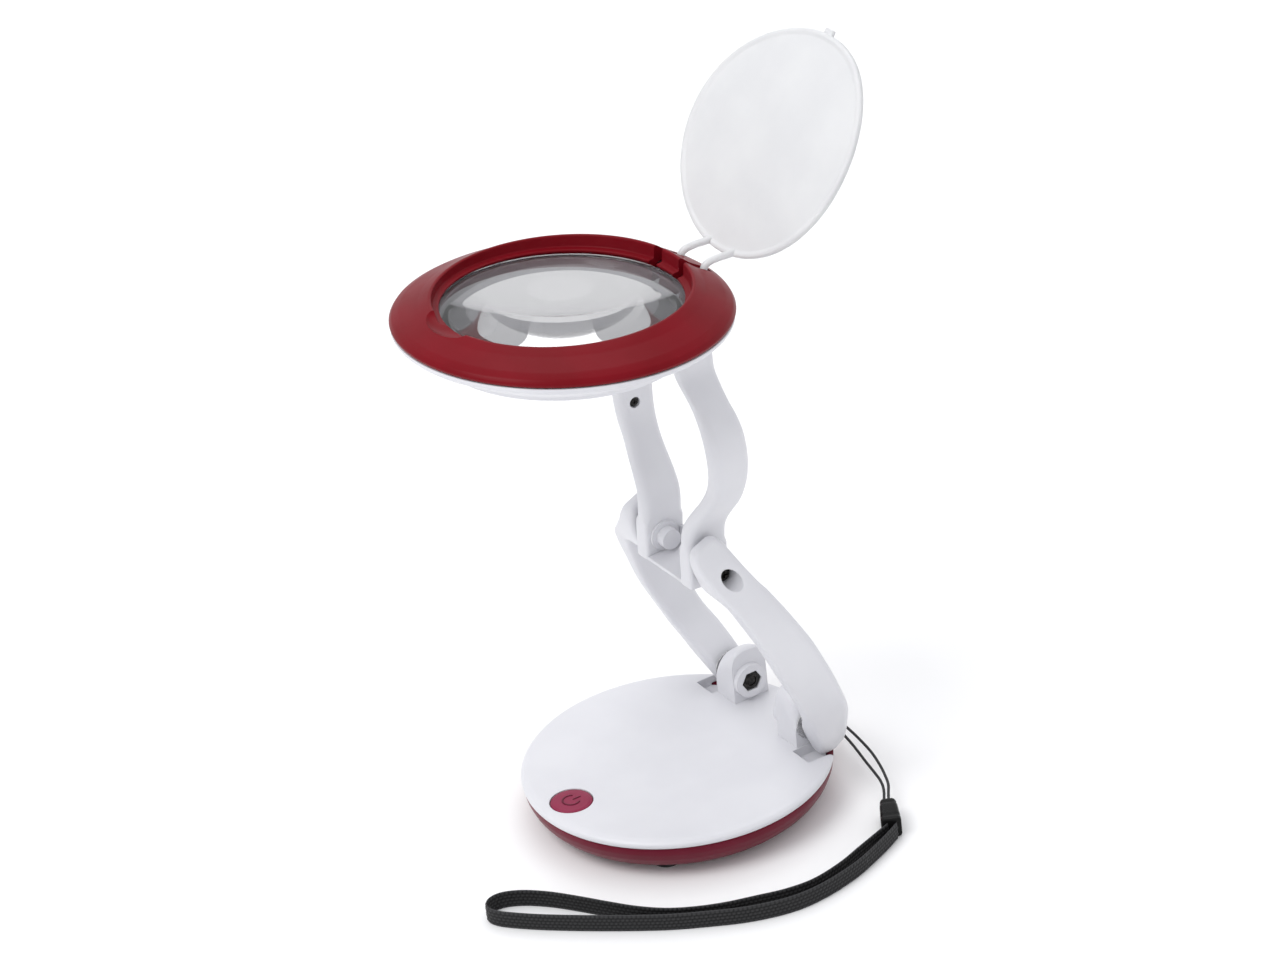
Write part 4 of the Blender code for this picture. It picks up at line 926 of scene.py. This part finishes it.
def make_lower_arm_bar(side):
    name, sign = side
    rows = smooth_rows(LOWER_BAR_ROWS, 4) + smooth_rows(LOWER_TOP_ROWS, 3)
    sections = []
    for height, inner, outer_front, outer_rear, front, rear in rows:
        corners = ((outer_front, front), (inner, front), (inner, rear), (outer_rear, rear))
        outline = rounded_corners(corners, LOWER_BAR_ROUNDING)
        sections.append([(sign * x, y, height) for x, y in outline])
    bar = loft(f"lower_arm_bar_{name}", sections)

    elbow = (0, LOWER_LENGTH)
    combine(bar, cross_rod(f"bar_hinge_hole_{name}", sign, 26, 33.8, (0, 0), BOLT_RADIUS + HOLE_CLEARANCE))
    combine(bar, cross_rod(f"bar_bolt_head_room_{name}", sign, 33.4, 36.5, (0, 0), 3.8))
    combine(bar, cross_rod(f"bar_elbow_hole_{name}", sign, 18, 28, elbow, PIN_HOLE_RADIUS))
    combine(bar, cross_rod(f"bar_counterbore_{name}", sign, 26.8, 46, elbow, 3.4))
    place(bar, f"lower_arm_bar_{name}", "lower_arm", WHITE, LOWER)


# Height above the elbow, middle x, wall across, front y, rear y. Two bars bow out and meet in a yoke.
UPPER_BAR_ROWS = (
    (-8.8, 14.9, 6.6, -7.0, 7.8),
    (-8.3, 14.9, 7.4, -7.8, 8.6),
    (-5.5, 14.9, 7.6, -7.9, 8.9),
    (4.0, 14.9, 7.6, -7.9, 9.2),
    (12.0, 14.9, 7.6, -7.6, 9.6),
    (17.0, 16.4, 8.0, -6.6, 10.0),
    (22.0, 20.0, 8.4, -5.6, 10.4),
    (28.0, 24.8, 8.8, -4.4, 10.4),
    (34.0, 28.4, 8.8, -3.8, 10.2),
    (41.0, 31.0, 8.6, -4.4, 10.2),
    (49.0, 31.8, 8.6, -5.2, 10.0),
    (57.0, 30.8, 8.6, -6.0, 9.5),
    (63.0, 28.0, 8.6, -6.2, 8.8),
    (68.0, 24.0, 8.4, -6.2, 8.0),
    (73.0, 19.4, 8.0, -6.8, 8.0),
    (78.0, 15.8, 7.8, -7.4, 8.0),
    (84.8, 14.9, 7.6, -8.0, 8.0),
    (89.0, 14.9, 7.6, -7.0, 7.0),
    (91.6, 14.9, 7.2, -4.8, 4.8),
    (92.6, 14.9, 6.4, -2.6, 2.6),
)
YOKE_HEIGHT = 8  # the bars have squarer edges below this height
YOKE_ROUNDING = 1.4
BAR_ROUNDING = 3.2
# Outline of the yoke's floor, as (y, z), hollow on its upper side
YOKE_FLOOR = ((-7.4, -8.5), (-7.6, -7.0), (-3.4, -6.6), (1.2, -5.4), (5.0, -2.6), (7.2, 1.6), (8.7, 1.4),
              (8.5, -8.3))


def make_upper_arm_frame():
    """Both bars in one moulding, joined by the floor of the yoke, with a screw boss inside each cheek."""
    bars = []
    for name, sign in SIDES:
        sections = []
        for height, middle, across, front, rear in smooth_rows(UPPER_BAR_ROWS, 4):
            rounding = YOKE_ROUNDING if height < YOKE_HEIGHT else BAR_ROUNDING
            outline = rounded_rectangle(middle - across / 2, middle + across / 2, front, rear, rounding)
            sections.append([(sign * x, y, height) for x, y in outline])
        bars.append(loft(f"upper_bar_{name}", sections))
    arm, other = bars
    combine(arm, other, "UNION")

    ends = (-YOKE_INNER - 2, YOKE_INNER + 2)
    floor = loft("yoke_floor", [[(x, y, z) for y, z in YOKE_FLOOR] for x in ends])
    combine(arm, floor, "UNION")
    elbow, head_pin = (0, 0), (0, UPPER_LENGTH)
    for name, sign in SIDES:
        collar = cross_rod(f"elbow_collar_{name}", sign, 9.9, 12.5, elbow, ELBOW_COLLAR_RADIUS)
        combine(arm, collar, "UNION")
        boss = cross_rod(f"elbow_boss_{name}", sign, 5.6, 12.5, elbow, ELBOW_BOSS_RADIUS)
        combine(arm, boss, "UNION")
    for name, sign in SIDES:
        combine(arm, cross_rod(f"elbow_screw_bore_{name}", sign, 7.2, 22, elbow, 2.0))
        combine(arm, cross_rod(f"head_pin_hole_{name}", sign, 9, 17.0, head_pin, PIN_HOLE_RADIUS))
        combine(arm, cross_rod(f"arm_screw_seat_{name}", sign, 22, 29.2, ARM_SCREW, 2.2))
        combine(arm, cross_rod(f"arm_screw_bore_{name}", sign, 27, 33.5, ARM_SCREW, 1.3))
    place(arm, "upper_arm_frame", "upper_arm", WHITE, UPPER)


def cross_head_screw(name, sign, start, head_radius, axis, face, shank_radius, shank_end):
    """A screw along X with a domed head at the given face and a cross recess in it."""
    depth = abs(face - start)
    profile = [(0, 0.0), (head_radius * 0.55, -0.12), (head_radius * 0.9, -0.42), (head_radius, -0.8),
               (head_radius, -depth), (shank_radius, -depth), (shank_radius, -shank_end), (0, -shank_end)]
    screw = turned(name, profile, 48)
    apply_modifiers(screw)
    long, short = 0.6 * head_radius, 0.13 * head_radius
    for across, high in ((short, long), (long, short)):
        combine(screw, box(f"{name}_recess", (-across, -high, -0.9), (across, high, 0.5)))
    apply_modifiers(screw)
    quarter = Matrix.Rotation(math.radians(90 * sign), 4, "Y")
    screw.data.transform(turned_frame(BASE, (sign * face, *axis), 0) @ quarter)
    return screw


def make_arm_screws():
    for name, sign in SIDES:
        pivot = cross_head_screw("elbow_screw", sign, 27.1, 2.9, (0, 0), 29.6, 1.7, 22.1)
        place(pivot, f"elbow_screw_{name}", "upper_arm", BLACK_METAL, UPPER)
        screw = cross_head_screw("arm_screw", -sign, -28.9, 1.85, ARM_SCREW, -27.6, 1.0, 5.5)
        place(screw, f"arm_screw_{name}", "upper_arm", BLACK_METAL, UPPER)


# ---------------------------------------------------------------- head

def raise_crest(obj):
    """Lifts the crest of the ring, and more so at its hinge side."""
    for vertex in obj.data.vertices:
        share = max(vertex.co.z, 0) / (CREST_HEIGHT * MM)
        vertex.co.z += (0.7 * MM + 1.6 * MM * vertex.co.y / (CREST_RADIUS * MM)) * share**2


def make_head_upper_ring():
    profile = [(CREST_RADIUS + 0.3, 8.8), (51.5, 6.8), (58.5, 3.9), (61.2, 2.3), (HEAD_RADIUS, 0.7),
               (61.6, -0.6), (60.2, -0.6), (58.6, 1.2), (49.6, 4.3), (47.3, 3.6), (47.3, -0.6), (45.5, -0.6),
               (45.5, 4.0), (44.0, 4.2), (44.0, 5.1), (46.3, 5.3), (46.6, CREST_HEIGHT - 0.2)]
    ring = turned("head_upper_ring", round_profile(profile, 0.5, closed=True), ROUND_STEPS, closed=True)
    apply_modifiers(ring)
    raise_crest(ring)

    hinge_y = COVER_HINGE[0]
    block = box("cover_hinge_block", (-13.2, hinge_y - 3.2, -0.5), (13.2, hinge_y + 2.6, 3.8))
    combine(ring, block, "UNION")
    for name, sign in SIDES:
        xs = sorted((sign * (COVER_ROD_X - 2.1), sign * (COVER_ROD_X + 2.1)))
        combine(ring, box(f"cover_slot_{name}", (xs[0], 43.0, -1.5), (xs[1], hinge_y + 2.5, 16)))
    combine(ring, rod("cover_pin_hole", (-12.4, *COVER_HINGE), (12.4, *COVER_HINGE), 1.3))
    combine(ring, make_cover_sweep())
    combine(ring, mesh_object("thumb_scoop", build_thumb_scoop))
    place(ring, "head_upper_ring", "head", RED, HEAD)


def cover_bend(share):
    """How far the disc stands off its plane, at a share of its half length from its middle to its tab."""
    square, cube = COVER_BEND
    return -square * share**2 - cube * share**3


def make_cover_sweep():
    """The room that the near edge of the disc needs in the ring's crest while the cover closes."""
    hinge_y, hinge_z = COVER_HINGE
    sections = []
    for x in range(-27, 28):
        share = -math.sqrt(1 - (x / COVER_HALF_WIDTH) ** 2)
        near = COVER_CENTRE[0] + COVER_HALF_LENGTH * share
        upper_face = COVER_CENTRE[1] + cover_bend(share) + COVER_THICKNESS / 2
        reach = math.hypot(near, upper_face) - 0.45
        corner = math.degrees(math.atan2(upper_face, near))
        section = []
        for step in range(25):
            turn = 180 + corner - 3 * step
            y, z = on_circle(reach, turn)
            section.append((x, hinge_y + y, hinge_z + z))
        section += [(x, section[-1][1] + 0.2, 26), (x, 20, 26), (x, 20, section[0][2] + 0.1)]
        sections.append(section)
    return loft("cover_sweep", sections)


def build_thumb_scoop(bm):
    bmesh.ops.create_uvsphere(bm, u_segments=72, v_segments=36, radius=1.0)
    bmesh.ops.scale(bm, vec=Vector((13.0, 7.0, 4.6)) * MM, verts=bm.verts)
    bmesh.ops.translate(bm, vec=Vector((-2.0, -46.2, 9.0)) * MM, verts=bm.verts)


def make_head_lower_shell():
    profile = [(61.8, -1.0), (61.6, -2.4), (60.2, -3.7), (51.5, -8.2), (47.0, -11.0), (46.0, -12.8),
               (45.2, -12.8), (45.2, -7.0), (39.8, -7.0), (39.8, -12.8), (38.2, -12.8), (38.4, -5.8),
               (42.6, -2.4), (42.9, -1.3), (47.2, -1.3), (47.6, -4.8), (52.0, -6.0), (58.8, -2.6),
               (59.6, -1.0)]
    shell = turned("head_lower_shell", round_profile(profile, 0.3, closed=True), ROUND_STEPS, closed=True)
    hinge_y, hinge_z = -HEAD_OFFSET.y, -HEAD_OFFSET.z
    lug_radius = 7.6
    angles = [math.pi + math.pi * step / 24 for step in range(25)]
    outline = [(-lug_radius, 14.6)]
    outline += [(lug_radius * math.cos(angle), lug_radius * math.sin(angle)) for angle in angles]
    outline += [(lug_radius, 14.6)]
    for name, sign in SIDES:
        faces = [sign * 3.4, sign * (YOKE_INNER - 0.5)]
        lug = loft(f"head_lug_{name}", [[(x, hinge_y + y, hinge_z + z) for y, z in outline] for x in faces])
        combine(lug, rod(f"head_lug_opening_{name}", (0, 0, -13.3), (0, 0, 0), 45.6))
        combine(shell, lug, "UNION")
    hole = rod("head_lug_hole", (-12, hinge_y, hinge_z), (12, hinge_y, hinge_z), PIN_HOLE_RADIUS)
    combine(shell, hole)
    place(shell, "head_lower_shell", "head", WHITE, HEAD)


def dome(radius, rise, count):
    """Points of a shallow spherical cap from its middle to its edge, as (radius, height)."""
    ball = (radius**2 + rise**2) / (2 * rise)
    return [(radius * i / count, math.sqrt(ball**2 - (radius * i / count) ** 2) - ball + rise)
            for i in range(count + 1)]


def make_lens():
    top = [(r, LENS_EDGE_TOP + z) for r, z in dome(LENS_RADIUS, LENS_TOP_RISE, 24)]
    bottom = [(r, LENS_EDGE_LOW - z) for r, z in reversed(dome(42.0, LENS_BOTTOM_DROP, 24))]
    lens = turned("lens", top + [(LENS_RADIUS, LENS_EDGE_LOW)] + bottom, ROUND_STEPS)
    place(lens, "lens", "head", ACRYLIC, HEAD)


# ---------------------------------------------------------------- cover

def make_cover_rod(name, sign):
    """A round rod that rises from the hinge barrel, turns rearward over the ring and meets the disc."""
    turn = math.radians(COVER_OPEN_ANGLE)
    route = [(y * math.cos(turn) + z * math.sin(turn), z * math.cos(turn) - y * math.sin(turn))
             for y, z in COVER_ROD_ROUTE]
    points = smooth_rows(route, 6)
    sections = []
    for i, (y, z) in enumerate(points):
        ahead = points[min(i + 1, len(points) - 1)]
        behind = points[max(i - 1, 0)]
        slope = math.atan2(ahead[1] - behind[1], ahead[0] - behind[0])
        radius = COVER_ROD_RADIUS if i < len(points) - 1 else 0.9
        ring = []
        for step in range(24):
            angle = 2 * math.pi * (step + 0.37) / 24
            lift = radius * math.sin(angle)
            ring.append((sign * COVER_ROD_X + radius * math.cos(angle),
                         y - lift * math.sin(slope), z + lift * math.cos(slope)))
        sections.append(ring)
    return loft(f"cover_rod_{name}", sections)


def make_cover():
    """Frosted disc with a thicker edge, a finger tab and two bent rods ending in barrels on the pin."""
    half = COVER_THICKNESS / 2
    middle_y, middle_z = COVER_CENTRE
    edge = COVER_HALF_LENGTH
    rings = [3.0 * k for k in range(1, 14)]
    upper = [(0, half - 0.6)] + [(r, half - 0.6) for r in rings]
    upper += [(edge - 2.6, half - 0.6), (edge - 1.4, half)]
    lower = [(edge - 0.5, -half)] + [(r, -half - 0.1) for r in reversed(rings)] + [(0, -half - 0.1)]
    profile = upper + [(edge - 0.4, half), (edge, half - 0.5), (edge, 0.5 - half)] + lower
    cover = turned("cover", round_profile(profile, 0.25), ROUND_STEPS)
    apply_modifiers(cover)
    for vertex in cover.data.vertices:
        share = vertex.co.y / (edge * MM)
        vertex.co.x *= COVER_HALF_WIDTH / edge
        vertex.co += Vector((0, middle_y, middle_z + cover_bend(share))) * MM
    far = middle_y + edge
    tab_z = middle_z + cover_bend(1)
    tab = box("cover_tab", (-2.6, far - 2, 0.3 - half + tab_z), (2.6, far + 2.0, tab_z + half - 0.3), 0.7)
    combine(cover, tab, "UNION")
    for name, sign in SIDES:
        combine(cover, make_cover_rod(name, sign), "UNION")
        barrel = cross_rod(f"cover_barrel_{name}", sign, COVER_ROD_X - 1.8, COVER_ROD_X + 1.8, (0, 0), 2.1)
        combine(cover, barrel, "UNION")
    combine(cover, rod("cover_barrel_bore", (-12, 0, 0), (12, 0, 0), 1.25))
    place(cover, "cover", "cover", FROSTED, COVER)


# ---------------------------------------------------------------- pieces that keep their solids

KEPT = {
    BLACK_METAL: ("base_screw_1", "base_screw_2", "base_screw_3", "base_hinge_bolt_left",
                  "base_hinge_bolt_right"),
    BRIGHT_METAL: ("battery_contact_front", "battery_contact_rear", "friction_washer_left",
                   "friction_washer_right", "elbow_washer_left", "elbow_washer_right", "head_hinge_pin",
                   "cover_hinge_pin"),
    SHELL_RED: ("battery_door",),
    FROSTED: ("led_diffuser",),
    BLACK_GLOSS: ("battery_tray", "push_switch"),
    BOARD: ("switch_board", "led_board"),
    SLEEVE: ("battery_1", "battery_2", "battery_3"),
    RESIN: ("led_1", "led_2", "led_3", "led_4", "led_5", "led_6"),
}


def dress_kept_nodes():
    for (material, _slot), names in KEPT.items():
        for name in names:
            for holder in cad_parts[name].material_slots:
                holder.material = material


make_camera()
STRAP_SLIDER = make_slider()
make_strap_cord()
make_band()
make_base_lower_shell()
make_base_top_plate()
make_feet()
make_button()
make_nuts()
for arm_side in SIDES:
    make_lower_arm_bar(arm_side)
make_upper_arm_frame()
make_arm_screws()
make_head_upper_ring()
make_head_lower_shell()
make_lens()
make_cover()
dress_kept_nodes()
make_floor()
make_studio()
